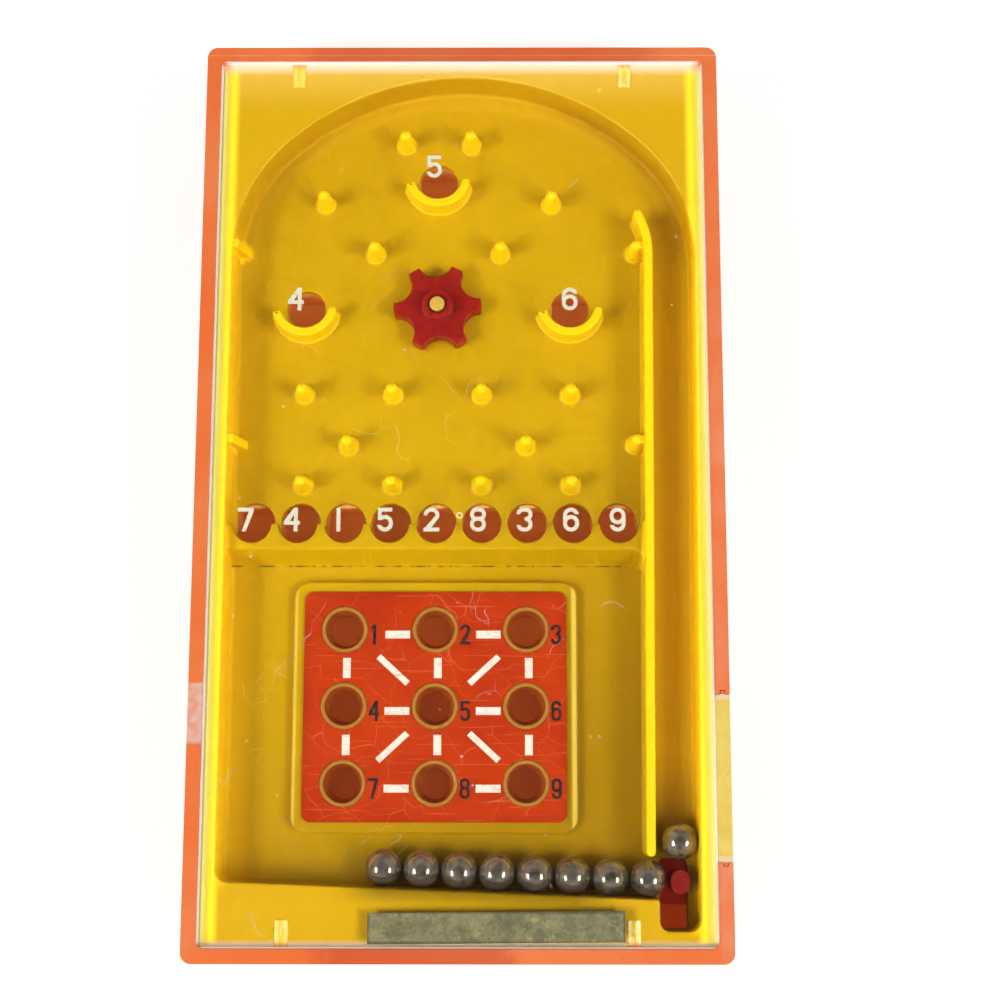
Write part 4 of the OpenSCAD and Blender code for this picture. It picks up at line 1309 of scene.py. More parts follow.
@dataclass(frozen=True)
class OldLabel(Finish):
    """The bare paper label: grey green, mottled, foxed, with darker edges."""

    colour: tuple = (118, 114, 78)
    light: tuple = (158, 150, 104)
    fox: tuple = (84, 78, 50)
    pale: tuple = (186, 174, 122)
    rim: tuple = (52, 48, 34)
    centre: tuple = (4.8, -55.75)
    wide: float = 32.0
    high: float = 3.8
    rough: float = 0.62

    def made(self, graph: Graph) -> bpy.types.Material:
        """Builds the material's nodes.

        Args:
            graph: the finish's empty graph.

        Returns:
            The material.
        """
        base = graph.coat(paint(*self.colour), self.light, graph.noise(0.5, 6.0, 0.7).step(0.35, 0.68))
        base = graph.coat(base, self.fox, graph.noise(1.6, 6.0, 0.75).step(0.52, 0.72, 0.0, 0.75))
        patches = graph.noise(0.9, 5.0, 0.7, graph.moved((9.0, 4.0, 0.0)))
        base = graph.coat(base, self.pale, patches.step(0.55, 0.7, 0.0, 0.7))
        across = abs(graph.axis("X") - self.centre[0]).step(self.wide / 2 - 0.5, self.wide / 2)
        up = abs(graph.axis("Y") - self.centre[1]).step(self.high / 2 - 0.4, self.high / 2)
        base = graph.coat(base, self.rim, (across | up) * 0.6)
        normal = graph.bump(graph.noise(5.0, 5.0, 0.7), 0.02)
        return graph.done(graph.surface(Base_Color=base, Roughness=self.rough, Normal=normal))


@dataclass(frozen=True)
class Strip(Finish):
    """The tan strip, with a painted highlight on its two chamfered ends."""

    colour: tuple = (255, 226, 112)
    cloud: tuple = (250, 210, 94)
    chamfer_highlight: tuple = (255, 226, 190)
    end: tuple = (255, 118, 56)
    scratch: tuple = (180, 130, 60)
    middle_y: float = -37.35
    half: float = 10.4

    def made(self, graph: Graph) -> bpy.types.Material:
        """Builds the material's nodes.

        Args:
            graph: the finish's empty graph.

        Returns:
            The material.
        """
        base = graph.coat(paint(*self.colour), self.cloud, graph.noise(0.3, 5.0, 0.6).step(0.35, 0.7))
        away = abs(graph.axis("Y") - self.middle_y)
        # painted highlight on the chamfered ends
        base = graph.coat(base, self.chamfer_highlight, away.step(self.half - 0.75, self.half - 0.6, 0.0, 0.8))
        base = graph.coat(base, self.end, away.step(self.half, self.half + 0.05))
        marks = graph.hairlines(3.0, 0.05, 0.45, 3.0) | graph.flecks(2.5, 0.07)
        base = graph.coat(base, self.scratch, marks * 0.4)
        rough = graph.noise(1.0, 3.0).step(0.3, 0.7, 0.34, 0.5)
        normal = graph.bump(graph.noise(6.0, 3.0), 0.008)
        return graph.done(graph.surface(Base_Color=base, Roughness=rough, Normal=normal))


@dataclass(frozen=True)
class RedPlastic(Finish):
    """Deep red plastic with painted light at its thin edges, a dark ring round the hub, painted light on
    the launcher's sunk plate, painted shade on its head, and fine scratches.
    """

    colour: tuple = (140, 20, 14)
    bright: tuple = (150, 27, 19)
    thin: tuple = (180, 44, 16)
    hub: tuple = (70, 14, 8)
    low: tuple = (255, 64, 26)
    post_shade: tuple = (92, 18, 12)
    scratch: tuple = (214, 96, 70)
    centre: tuple = (-3.2051, 25.1)
    rim: float = 5.0
    star_r: float = 9.0
    hub_r: float = 1.2
    plate_z: tuple = (6.5, 7.4)
    post_y: tuple = (-40.0, -41.0)
    post_z: tuple = (9.4, 10.0)

    def made(self, graph: Graph) -> bpy.types.Material:
        """Builds the material's nodes.

        Args:
            graph: the finish's empty graph.

        Returns:
            The material.
        """
        x, y = self.centre
        away = graph.length(graph.moved((-x, -y, 0.0), 0.0, (1.0, 1.0, 0.0)))
        height = graph.axis("Z")
        base = graph.coat(paint(*self.colour), self.bright, graph.noise(0.35, 4.0).step(0.35, 0.7))
        # painted light: the star's arms lighter where the plastic is thin
        edge = away.step(self.rim, self.rim + 0.9) * away.step(self.star_r, self.star_r - 1.0)
        base = graph.coat(base, self.thin, edge * 0.3)
        # a dark ring round the hub
        base = graph.coat(base, self.hub, away.step(self.hub_r, self.hub_r + 0.25, 0.9, 0.0))
        # painted light: the launcher's plate deep in the slot painted a lighter red
        base = graph.coat(base, self.low, height.step(*self.plate_z, 0.9, 0.0))
        # painted shade on the upper part of the launcher's head
        post_shade = graph.axis("Y").step(*self.post_y) * height.step(*self.post_z, 0.0, 0.5)
        base = graph.coat(base, self.post_shade, post_shade)
        marks = graph.hairlines(2.0, 0.04, 0.55, 8.0) | graph.flecks(1.6, 0.05)
        shader = graph.surface(
            Base_Color=graph.coat(base, self.scratch, marks * 0.3),
            Roughness=graph.noise(1.5, 3.0).step(0.3, 0.7, 0.26, 0.4),
            Specular_IOR_Level=0.25,
            Normal=graph.bump(graph.noise(5.0, 3.0), 0.0015),
        )
        return graph.done(shader)


@dataclass(frozen=True)
class Steel(Finish):
    """Bearing or spring steel, dulled by handling, with tiny rust specks."""

    colour: tuple = (160, 150, 134)
    dull: tuple = (114, 104, 90)
    rough: float = 0.07
    metal: float = 0.82
    rust: tuple = (86, 58, 40)

    def made(self, graph: Graph) -> bpy.types.Material:
        """Builds the material's nodes.

        Args:
            graph: the finish's empty graph.

        Returns:
            The material.
        """
        base = graph.coat(paint(*self.colour), self.dull, graph.noise(0.8, 5.0, 0.65).step(0.4, 0.7))
        base = graph.coat(base, self.rust, graph.noise(4.0, 4.0, 0.7).step(0.64, 0.76, 0.0, 0.45))
        rough = graph.noise(2.0, 5.0, 0.7).step(0.35, 0.7, self.rough, self.rough + 0.14)
        normal = graph.bump(graph.noise(3.0, 5.0, 0.7), 0.004)
        return graph.done(
            graph.surface(Base_Color=base, Metallic=self.metal, Roughness=rough, Normal=normal)
        )


# Sub-assemblies


@dataclass(frozen=True)
class Layout:
    """Places and levels that several sub-assemblies share."""

    field_x: float = -3.2051
    row_y: float = -4.3
    pitch: float = 6.0025
    hole_r: float = 2.60125
    floor_z: float = 8.1025
    mould_z: float = 6.9025
    shelf_z: float = 13.505
    window_pitch: float = 11.805
    window_down: float = 9.9
    pad_y: float = -28.15
    ball_r: float = 2.38125
    ball_z: float = 10.48375

    def row(self) -> Array:
        """Middles of the nine holes in the row."""
        return np.stack([self.field_x + (np.arange(9) - 4) * self.pitch, np.full(9, self.row_y)], 1)

    def windows(self) -> Array:
        """Middles of the nine windows.

        Returns:
            A row for each window.
        """
        x, y = np.meshgrid([-1, 0, 1], [1, 0, -1])
        across = self.field_x + x.ravel() * self.window_pitch
        return np.stack([across, self.pad_y + y.ravel() * self.window_down], 1)

    def cup_holes(self) -> Array:
        """Middles of the three holes that the cups stand under."""
        x = self.field_x
        return np.array([[x, 43.35], [x - 17.8075, 25.35], [x + 17.8075, 25.35]])


@dataclass
class Moulding:
    """The yellow moulding: shelf, well, arch, floor, holes, pegs, cups, ledge, rail and window pad."""

    plan: Layout
    finish: Finish
    wide: float = 64.9
    high: float = 116.6
    corner_r: float = 0.8
    end_round: float = 0.18
    side_round: float = 0.06
    left_x: float = -30.5
    right_x: float = 31.2
    lean: float = math.tan(math.radians(0.5))
    spring_y: float = 30.95
    arch_x: float = 0.35
    arch_half: float = 30.85
    arch_rise: float = 25.4
    arch_r: float = 21.9
    lane_left_x: float = 25.236
    lane_end_y: float = -56.3
    tray_y: float = -52.45
    corners_r: tuple = (1.5, 0.35, 1.3, 1.6)
    tray_lean: float = math.tan(math.radians(2.3))
    draft: float = 0.3
    edge_r: float = 0.28
    foot_r: float = 0.55
    bank: float = 2.0
    bank_rise: float = 0.3
    rail_gap: float = 6.8025
    rail_t: float = 1.15
    rail_z: float = 12.905
    rail_foot_y: float = -47.15
    rail_bend_y: float = 31.85
    rail_bend_r: float = 12.0
    rail_bend: float = 28.0
    ledge_z: float = 11.9025
    ledge_y: float = -4.6
    bite_y: float = -4.5
    row_lift: float = 0.4
    crest_y: float = -8.1
    foot_y: float = -9.7
    crest_bend: tuple = (2.3, 1.75, 1.7)
    lip_bend: tuple = (1.5, 0.95, 0.8)
    ledge_round: tuple = (0.2, 0.5)
    ledge_toe: tuple = ((0.35, 0.28), (0.07, 0.05), (-0.2, -0.1))
    peg_r: float = 1.3
    peg_tip_r: float = 0.75
    peg_foot: float = 0.4
    peg_z: float = 12.505
    cup_z: float = 11.2
    cup_r: float = 4.401
    cup_in_r: float = 3.301
    cup_tip: float = 15.0
    rail_peg_out: float = 0.95
    wall_peg_y: tuple = (33.2, 6.6)
    bridge: float = 0.55
    rib: tuple = (1.95, 0.75, 0.64, 13.2)
    pad: tuple = (36.81, 32.4)
    pad_z: float = 9.3025
    collar_z: float = 9.6525
    collar_r: float = 3.0
    bore_r: float = 2.49
    bore_foot_r: float = 1.951
    pin: tuple = (25.1, 1.0, 12.2025)
    slot: tuple = (25.636, 29.190, -56.25, -47.5)
    gate: tuple = (-0.165, -2.89)
    lug_x: float = 22.0
    pocket: tuple = (1.75, 54.9, 58.2, 10.3)
    bank_up: tuple = (24.0, 8.0)
    bank_right: tuple = (29.5, -50.0, 6.0)
    upright: float = 0.03
    upright_top: float = -45.0
    upright_left: tuple = (27.0, 0.35)
    upright_right: tuple = (-54.0, 4.0)
    lip: float = 0.14
    seam: float = 0.25
    raised_r: tuple = (1.9, 1.4, 1.2)

    def wall_x(self, y: Array | float) -> Array | float:
        """The lane's right wall, which leans in towards the lower end."""
        return self.right_x - (self.spring_y - y) * self.lean

    def rail_x(self, y: Array | float) -> Array | float:
        """The middle line of the rail."""
        return self.wall_x(y) - self.rail_gap + self.rail_t / 2

    def well(self) -> Array:
        """The well's edge: straight walls, the arch of a crown arc between two shoulder arcs that
        touch it, and rounded corners at the tray and the lane's end.

        Returns:
            The anticlockwise outline.
        """
        inset, over = self.arch_half - self.arch_r, self.arch_rise - self.arch_r
        drop = (inset**2 - over**2) / (2 * over)
        lean = math.degrees(math.atan2(drop, inset))
        arch = np.concatenate(
            [
                arc((self.arch_x + inset, self.spring_y), self.arch_r, 0, lean, 40),
                arc((self.arch_x, self.spring_y - drop), self.arch_rise + drop, lean, 180 - lean, 70)[1:],
                arc((self.arch_x - inset, self.spring_y), self.arch_r, 180 - lean, 180, 40)[1:],
            ]
        )
        span = self.lane_left_x - self.left_x
        corners = np.array(
            [
                [self.left_x, self.tray_y + span * self.tray_lean],
                [self.lane_left_x, self.tray_y],
                [self.lane_left_x, self.lane_end_y],
                [float(self.wall_x(self.lane_end_y)), self.lane_end_y],
                *arch.tolist(),
            ]
        )
        radii = np.concatenate([self.corners_r, np.zeros(len(arch))])
        return resampled(filleted(corners, radii), 1.0)

    def banked(self, edge: Array) -> Array:
        """How much of the bank each point of the edge has: all along the arch and the lane's right
        wall, none at the tray, the lane's end and the left wall.

        Args:
            edge: the well's edge.

        Returns:
            A share for each point.
        """
        start, run = self.bank_up
        up = np.clip((edge[:, 1] - start) / run, 0, 1)
        beyond, start, run = self.bank_right
        right = (edge[:, 0] > beyond) * np.clip((edge[:, 1] - start) / run, 0, 1)
        share = np.maximum(up, right)
        return share * share * (3 - 2 * share)

    def steep(self, edge: Array) -> Array:
        """How far the well's wall and foot stand in from each point of its edge: all the way, but
        hardly at all round the launcher's slot, where the wall is upright.

        Args:
            edge: the well's edge.

        Returns:
            A share for each point.
        """
        middle, run = self.upright_left
        left = np.clip((self.lane_left_x - edge[:, 0]) / run, self.upright, 1.0)
        start, run = self.upright_right
        right = np.clip((edge[:, 1] - start) / run, self.upright, 1.0)
        return np.where(edge[:, 1] > self.upright_top, 1.0, np.where(edge[:, 0] < middle, left, right))

    def body_shell(self) -> bpy.types.Mesh:
        """The closed shell of the slab: skirt, shoulder (a quarter round whose radius grows by the
        side's share over the first 3 mm from each end), shelf, well wall, bank, floor, holes and
        underside. The four lug pockets are openings of the shelf with walls and floors of their own.

        Returns:
            The shell's mesh.
        """
        plan, shells = self.plan, Shells()
        skirt = resampled(rounded_box((0, 0), self.wide, self.high, self.corner_r), 6.0)
        outward = reach(skirt)
        middling = np.clip((self.high / 2 - 1 - np.abs(skirt[:, 1])) / 3, 0, 1)
        round_r = self.end_round + self.side_round * middling
        turn = np.linspace(0, np.pi / 2, 8)[:, None]
        one = np.ones((1, len(skirt)))
        out = np.concatenate([-self.seam * one, 0 * one, (np.cos(turn) - 1) * round_r])
        height = np.concatenate(
            [
                plan.mould_z * one,
                (plan.mould_z + self.seam) * one,
                plan.shelf_z - (1 - np.sin(turn)) * round_r,
            ]
        )
        outer = np.concatenate([skirt[None] + out[..., None] * outward[None], height[..., None]], 2)
        shells.add(lofted(outer))
        edge = self.well()
        bank = self.banked(edge)[None]
        top = arc((self.edge_r, plan.shelf_z - self.edge_r), self.edge_r, 90, 180, 5)
        foot = arc((-self.draft - self.foot_r, plan.floor_z + self.foot_r), self.foot_r, 0, -90, 6)
        slope = np.linspace(0, 1, 7)[1:, None]
        lift = self.bank_rise * bank
        one = np.ones((1, len(edge)))
        out = np.concatenate(
            [top[:, :1] * one, foot[:, :1] * one, foot[-1, 0] - slope * (0.06 + self.bank * bank)]
        )
        height = np.concatenate(
            [
                top[:, 1:] * one,
                foot[:, 1:] + lift,
                plan.floor_z + lift * (1 - slope) ** 2 * (1 + 2 * slope),
            ]
        )
        out = np.where(out < 0, out * self.steep(edge)[None], out)
        flat = edge[None] + out[..., None] * reach(edge)[None]
        rings = np.concatenate([flat, height[..., None]], 2)
        shells.add(lofted(rings))
        wide, near, far, deep = self.pocket
        places = [(x, side * (near + far) / 2) for x in (-self.lug_x, self.lug_x) for side in (-1, 1)]
        pockets = [rounded_box(place, wide, far - near, 0.1, 3) for place in places]
        shells.add(*[lofted(walled(p, np.array([[0, plan.shelf_z], [0, deep]]))) for p in pockets])
        shells.add(*[filled(p, [], deep) for p in pockets])
        shells.add(filled(outer[-1, :, :2], [rings[0, :, :2], *pockets], plan.shelf_z, 2.5))
        left, right, low, high = self.slot
        slot = rounded_box(((left + right) / 2, (low + high) / 2), right - left, high - low, 0.4, 5)
        openings = [circle(c, plan.hole_r, 72) for c in (*plan.row(), *plan.cup_holes())] + [slot]
        for opening in openings[:9]:
            opening[:, 1] += np.where(opening[:, 1] > plan.row_y + 1e-6, self.row_lift, 0.0)
        round_in = arc((self.lip, plan.floor_z - self.lip), self.lip, 90, 180, 4)
        wall = np.concatenate([round_in, [[0, plan.mould_z]]])
        bores = [circle(c, self.bore_r - 0.1, 40) for c in plan.windows()]
        sides = [walled(o, wall) for o in openings]
        straight = np.array([[0, plan.floor_z], [0, plan.mould_z]])
        sides += [walled(o, straight) for o in bores]
        shells.add(*[lofted(s) for s in sides])
        shells.add(filled(rings[-1, :, :2], [s[0, :, :2] for s in sides], plan.floor_z, 1.3))
        shells.add(filled(outer[0, :, :2], [s[-1, :, :2] for s in sides], plan.mould_z))
        return shells.mesh("slab")

    def pegs(self) -> list[Surface]:
        """Pegs turned from one profile: a flared foot, a cone and a ball tip.

        Returns:
            Their surfaces.
        """
        lift = self.plan.floor_z
        slant = (self.peg_r - self.peg_tip_r) / (self.peg_z - lift)
        tip = arc((0, self.peg_z - self.peg_tip_r), self.peg_tip_r, 6, 88, 8)
        foot = flare(self.peg_foot, lift, self.peg_r - slant * self.peg_foot, 6)
        sunk, point = [[self.peg_r + self.peg_foot, lift - 0.5]], [[0.001, self.peg_z]]
        profile = np.concatenate([sunk, foot, tip, point])
        return [revolved(c, profile) for c in self.peg_places()]

    def peg_places(self) -> Array:
        """Middles of all pegs: pairs on either side of the field's middle, and two beside the rail.

        Returns:
            A row for each peg.
        """
        crown = self.spring_y + self.arch_rise
        low = self.plan.row_y
        pairs = [
            (4.43, crown - 7.65),
            (15.39, crown - 16.15),
            (8.45, crown - 23.25),
            (5.93, low + 17.8),
            (17.8, low + 17.8),
            (11.8, low + 10.8),
            (5.93, low + 5.45),
            (17.8, low + 5.45),
        ]
        x = self.plan.field_x
        free = [(x + side * away, y) for away, y in pairs for side in (-1, 1)]
        held = [(float(self.rail_x(y)) - self.rail_t / 2 - self.rail_peg_out, y) for y in self.wall_peg_y]
        return np.array(free + held)

    def bridges(self) -> list[Surface]:
        """Bridges from the rail to the two pegs beside it, with rounded tops.

        Returns:
            Their surfaces.
        """
        made: list[Surface] = []
        top = self.peg_z - self.peg_tip_r / 2 + 0.2
        for y in self.wall_peg_y:
            rail = float(self.rail_x(y)) - self.rail_t / 2
            start, end = rail - self.rail_peg_out, rail + 0.3
            outline = rounded_box(((start + end) / 2, y), end - start, 2 * self.bridge, 0.02, 2)
            slope = np.array([[0.25, self.plan.floor_z - 0.3], [0.2, self.plan.floor_z + 0.3]])
            made += block(outline, np.concatenate([slope, rounding(0.3, top, 0.0, 5)]))
        return made

    def ribs(self) -> list[Surface]:
        """The left wall's two ribs: round-ended boxes whose reach shrinks evenly from the foot to the
        top, where the last rings shrink on a quarter round.

        Returns:
            Their surfaces.
        """
        made: list[Surface] = []
        foot, head, half, top = self.rib
        low, soft = self.plan.floor_z, 0.25
        turn = np.linspace(0, np.pi / 2, 6)
        heights = np.concatenate([[low - 0.3, low + 0.2], top - soft + soft * np.sin(turn)])
        inset = np.concatenate([[-0.15, 0.0], soft * (1 - np.cos(turn))])
        out = foot - (foot - head) * (heights - low) / (top - low) - inset
        for y in self.wall_peg_y:
            rings = []
            for height, reach_out, inward in zip(heights, out, inset):
                start, end = self.left_x - 0.4, self.left_x + reach_out
                ring = rounded_box(((start + end) / 2, y), end - start, 2 * (half - inward), 0.3, 5)
                rings.append(np.column_stack([ring, np.full(len(ring), height)]))
            ends = [(ring, np.arange(len(ring))[None]) for ring in (rings[0], rings[-1])]
            made += [lofted(np.stack(rings)), *ends]
        return made

    def cups(self) -> list[Surface]:
        """Cups: a ring's lower part, its two tips half circles and its outer side sloping.

        Returns:
            Their surfaces.
        """
        made: list[Surface] = []
        half = (self.cup_r - self.cup_in_r) / 2
        low, high = 180 + self.cup_tip, 360 - self.cup_tip
        for hole in self.plan.cup_holes():
            tips = arc(hole, self.cup_in_r + half, low, high, 2)
            right = arc(tips[1], half, high, high + 180, 9)[1:-1]
            left = arc(tips[0], half, low, low + 180, 9)[1:-1]
            inner = arc(hole, self.cup_in_r, high, low, 40)
            outline = np.concatenate([arc(hole, self.cup_r, low, high, 48), right, inner, left])
            foot = flare(0.3, self.plan.floor_z, 0.15, 5)
            sunk = [[0.2, self.plan.floor_z - 0.4]]
            profile = np.concatenate([sunk, foot, rounding(0.14, self.cup_z)])
            made += block(outline, profile)
        return made

    def bent(self, x: Array, end: float, before: float, run: float, drop: float) -> Array:
        """How far an edge of the ledge has turned aside near the rail: a quarter of an ellipse.

        Args:
            x: places across.
            end: where the ledge ends.
            before: how far before its end the turn starts.
            run: the ellipse's length across.
            drop: its height.

        Returns:
            The distance at each place.
        """
        share = np.clip((x - (end - before)) / run, 0, 1)
        return drop * (1 - np.sqrt(1 - share**2 * 0.999))

    def ledge(self) -> list[Surface]:
        """The ledge: at each place across, a wall on its upper side that the row's holes bite into,
        a rounded lip, a flat top and a slope whose crest curves down into the rail.

        Returns:
            The ledge's closed surface.
        """
        plan = self.plan
        start, end = self.left_x - 0.6, float(self.rail_x(self.crest_y))
        bite = math.sqrt(plan.hole_r**2 - (self.bite_y - self.ledge_y) ** 2)
        ends = np.concatenate([plan.row()[:, 0] - bite, plan.row()[:, 0] + bite])
        x = np.unique(np.concatenate([np.linspace(start, end, 340), ends, ends - 0.02, ends + 0.02]))
        off = np.abs(x[:, None] - plan.row()[None, :, 0]).min(1)
        sink = np.sqrt(np.maximum(plan.hole_r**2 - off**2, 0))
        upper = np.where(off < bite, self.bite_y - sink, self.ledge_y)
        crest = self.crest_y - self.bent(x, end, *self.crest_bend)
        rise = self.ledge_y + self.bent(x, end, *self.lip_bend)
        upper = np.where(x > ends.max() + 0.03, np.maximum(upper, rise), upper)
        low, top, even = plan.floor_z - 0.1, self.ledge_z, np.ones_like(x)
        sections = [(upper, even * low)]
        soft, full = self.ledge_round
        sections += [(upper - soft + a, even * (top - soft + b)) for a, b in arc((0, 0), soft, 0, 90, 5)]
        sections += [(crest + full - a, even * (top - full + b)) for a, b in arc((0, 0), full, 90, 22, 6)]
        fall = crest - self.crest_y + self.foot_y
        sections += [(fall + out, even * (plan.floor_z + up)) for out, up in self.ledge_toe]
        rows = np.stack([np.stack([x, y, z], 1) for y, z in sections], 1)
        section = np.arange(len(sections))[None]
        return [lofted(rows), (rows[0], section), (rows[-1], section)]

    def rail_path(self) -> Array:
        """The rail's middle line: straight up the lane, then an arc that bends left.

        Returns:
            The line's points.
        """
        y = np.linspace(self.rail_foot_y + self.rail_t / 2, self.rail_bend_y, 60)
        straight = np.stack([self.rail_x(y), y], 1)
        radius = self.rail_bend_r - self.rail_t / 2
        lean = math.degrees(math.atan(self.lean))
        head = straight[-1] - np.array([radius, 0])
        bend = arc(head, radius, -lean, self.rail_bend, 16)
        bend += straight[-1] - bend[0]
        return np.concatenate([straight, bend[1:]])

    def rail(self) -> list[Surface]:
        """The rail: a thick line along its path, with round ends, a flared foot and a rounded top.

        Returns:
            Its surfaces.
        """
        outline = stroked(self.rail_path(), self.rail_t / 2)
        floor = self.plan.floor_z
        profile = np.concatenate(
            [[[0.35, floor - 0.3]], flare(0.3, floor, 0.05), rounding(0.3, self.rail_z)]
        )
        return block(outline, profile)

    def window_pad(self) -> list[Surface]:
        """The pad under the card, with nine tapered bores and a raised collar round each.

        Returns:
            Its surfaces.
        """
        plan = self.plan
        outline = rounded_box((plan.field_x, plan.pad_y), *self.pad, 2.0)
        profile = np.concatenate(
            [[[0.2, plan.mould_z + 0.1]], flare(0.25, plan.floor_z), rounding(0.25, self.pad_z)]
        )
        rings = walled(outline, profile)
        flats = [circle(c, self.collar_r, 72) for c in plan.windows()]
        feet = [circle(c, self.bore_foot_r, 72) for c in plan.windows()]
        lip = np.concatenate(
            [
                [[self.collar_r, self.pad_z]],
                rounding(0.12, self.collar_z, self.collar_r, 4),
                arc((self.bore_r + 0.12, self.collar_z - 0.12), 0.12, 90, 180, 4),
                [[self.bore_foot_r, plan.mould_z + 0.1]],
            ]
        )
        collars = [revolved(c, lip, 72) for c in plan.windows()]
        return [
            lofted(rings),
            filled(rings[-1, :, :2], flats, self.pad_z),
            filled(rings[0, :, :2], feet, plan.mould_z + 0.1),
            *collars,
        ]

    def small_parts(self) -> list[Surface]:
        """The star's pin with its rounded top, and the ring left by the mould's gate.

        Returns:
            Their surfaces.
        """
        y, radius, top = self.pin
        floor = self.plan.floor_z
        foot, tip = flare(0.3, floor, radius, 4), rounding(0.25, top, radius, 5)
        pin = np.concatenate([[[radius + 0.3, floor - 0.3]], foot, tip, [[0.001, top]]])
        outer, inner = [[0.5, floor - 0.05]], [[0.22, floor - 0.05]]
        ring = np.concatenate([outer, arc((0.36, floor), 0.1, 0, 180, 7), inner, outer])
        return [revolved((self.plan.field_x, y), pin), revolved(self.gate, ring, 28)]

    def note(self, mesh: bpy.types.Mesh) -> None:
        """Notes how near a wall each point is, and whether it is on a collar, in a bore or pocket,
        on the gate's mark or the pin's top, or on one of the raised parts.

        Args:
            mesh: the moulding's mesh.
        """
        points, plan = coordinates(mesh), self.plan
        flat, height = points[:, :2], points[:, 2]
        noted(mesh, "wall_near", np.exp(-nearest(flat, resampled(self.well(), 0.4)) / 1.5))
        ring = nearest(flat, plan.windows())
        noted(mesh, "collar", (ring < self.collar_r + 0.05) & (height > self.pad_z + 0.05))
        noted(mesh, "bore", (ring < self.bore_r + 0.02) & (height < self.collar_z - 0.1))
        gate = nearest(flat, np.array([self.gate]))
        noted(mesh, "gate_mark", (gate < 0.52) & (height > plan.floor_z + 0.01))
        pin = nearest(flat, np.array([[plan.field_x, self.pin[0]]]))
        noted(mesh, "pin_top", (pin < 1.2) & (height > self.pin[2] - 1.0))
        ribs = np.array([[self.left_x + 0.8, y] for y in self.wall_peg_y])
        rail = nearest(flat, self.rail_path()) < self.rail_t
        by_peg, by_rib, by_cup = self.raised_r
        raised = rail | (nearest(flat, self.peg_places()) < by_peg) | (nearest(flat, ribs) < by_rib)
        above = height > plan.floor_z + 0.08
        raised = (raised & above & (height < self.rib[3] + 0.05)).astype(float)
        raised[rail & (height < plan.floor_z + 0.4)] *= 0.4
        cups = np.abs(nearest(flat, plan.cup_holes()) - self.cup_r + 0.6)
        raised[(cups < by_cup) & above] = 0.9
        noted(mesh, "raised", raised)
        wide, near = self.pocket[:2]
        across = np.abs(np.abs(points[:, 0]) - self.lug_x) < wide / 2 + 0.03
        ends = np.abs(points[:, 1]) > near - 0.03
        noted(mesh, "pocket", across & ends & (height < plan.shelf_z - 0.01))

    def build(self) -> bpy.types.Object:
        """Builds the moulding as one piece.

        Returns:
            The dressed moulding.
        """
        slab = self.body_shell()
        extra = Shells()
        extra.add(*self.pegs(), *self.bridges(), *self.ribs(), *self.cups(), *self.ledge())
        extra.add(*self.rail(), *self.window_pad(), *self.small_parts())
        mesh = extra.mesh("field_moulding")
        work = bmesh.new()
        work.from_mesh(mesh)
        work.from_mesh(slab)
        work.to_mesh(mesh)
        work.free()
        bpy.data.meshes.remove(slab)
        shaded(mesh, 34)
        self.note(mesh)
        piece = weighted(placed(mesh, "field_moulding"))
        return carried(piece, Body.CASING, self.finish, ["playfield"])


@dataclass
class Casing:
    """The orange case, the clear cover, the tan strip, and the printing and label that stay on them."""

    nodes: dict
    orange: Finish
    clear: Finish
    lug_top: Finish
    tan: Finish
    inks: dict
    outlines: dict
    edge: float = 0.28
    strip_edge: float = 0.12
    plate: tuple = (64.94, 116.64, 13.605, 14.805)
    plate_corner: float = 0.8
    cover_edge: float = 0.08
    lug: tuple = (22.0, 1.73, 54.91, 58.19, 10.405)
    lug_gap: float = 0.04

    def cover(self) -> bpy.types.Object:
        """The clear plate, let out to within a hair of the case as its pressed fit looks, and its
        four lugs, which end a hair under it so that their dull tops show.

        Returns:
            The dressed cover.
        """
        wide, high, low, top = self.plate
        soft = self.cover_edge
        foot = arc((-soft, low + soft), soft, -90, 0, 3)
        outline = rounded_box((0, 0), wide, high, self.plate_corner)
        plate = block(outline, np.concatenate([foot, rounding(soft, top, 0.0, 3)]))
        across, width, near, far, deep = self.lug
        lugs: list[Surface] = []
        for x in (-across, across):
            for side in (-1, 1):
                outline = rounded_box((x, side * (near + far) / 2), width, far - near, 0.2, 4)
                lugs += block(
                    outline, np.concatenate([[[0.0, deep]], rounding(0.1, low - self.lug_gap, 0.0, 3)])
                )
        shells = Shells()
        shells.add(*plate, *lugs)
        mesh = shells.mesh("cover_plate")
        shaded(mesh, 40)
        piece = carried(weighted(placed(mesh, "cover_plate")), Body.CASING, self.clear, ["clear_cover"])
        piece.data.materials.append(self.lug_top.material())
        heights = np.zeros(len(piece.data.polygons) * 3)
        piece.data.polygons.foreach_get("center", heights)
        slots = (heights[2::3] / MM < low - 0.02).astype(np.int32)
        piece.data.polygons.foreach_set("material_index", slots)
        return piece

    def build(self) -> None:
        """Rounds the case and the strip, builds the cover and dresses the printed nodes."""
        case = softened(self.nodes["rear_case"], "case_shell", self.edge, 3)
        carried(case, Body.CASING, self.orange, ["rear_case"])
        self.cover()
        strip = softened(self.nodes["slide_retainer"], "rim_strip", self.strip_edge)
        carried(strip, Body.CASING, self.tan, ["slide_retainer"])
        for node_name, (name, width, finish, edge) in self.outlines.items():
            outlined(self.nodes[node_name], name, width, Body.CASING, finish, edge)
        for name, finish in self.inks.items():
            node = self.nodes[name]
            node.data.materials.clear()
            node.data.materials.append(finish.material())
            LOG.info("%s: printed", name)


@dataclass
class Star:
    """The red star that turns on the pin."""

    nodes: dict
    finish: Finish
    edge: float = 0.14

    def build(self) -> bpy.types.Object:
        """Rounds the star's edges and dresses it."""
        piece = softened(self.nodes["star_spinner"], "star_wheel", self.edge, 2)
        return carried(piece, Body.SPINNER, self.finish, ["star_spinner"])


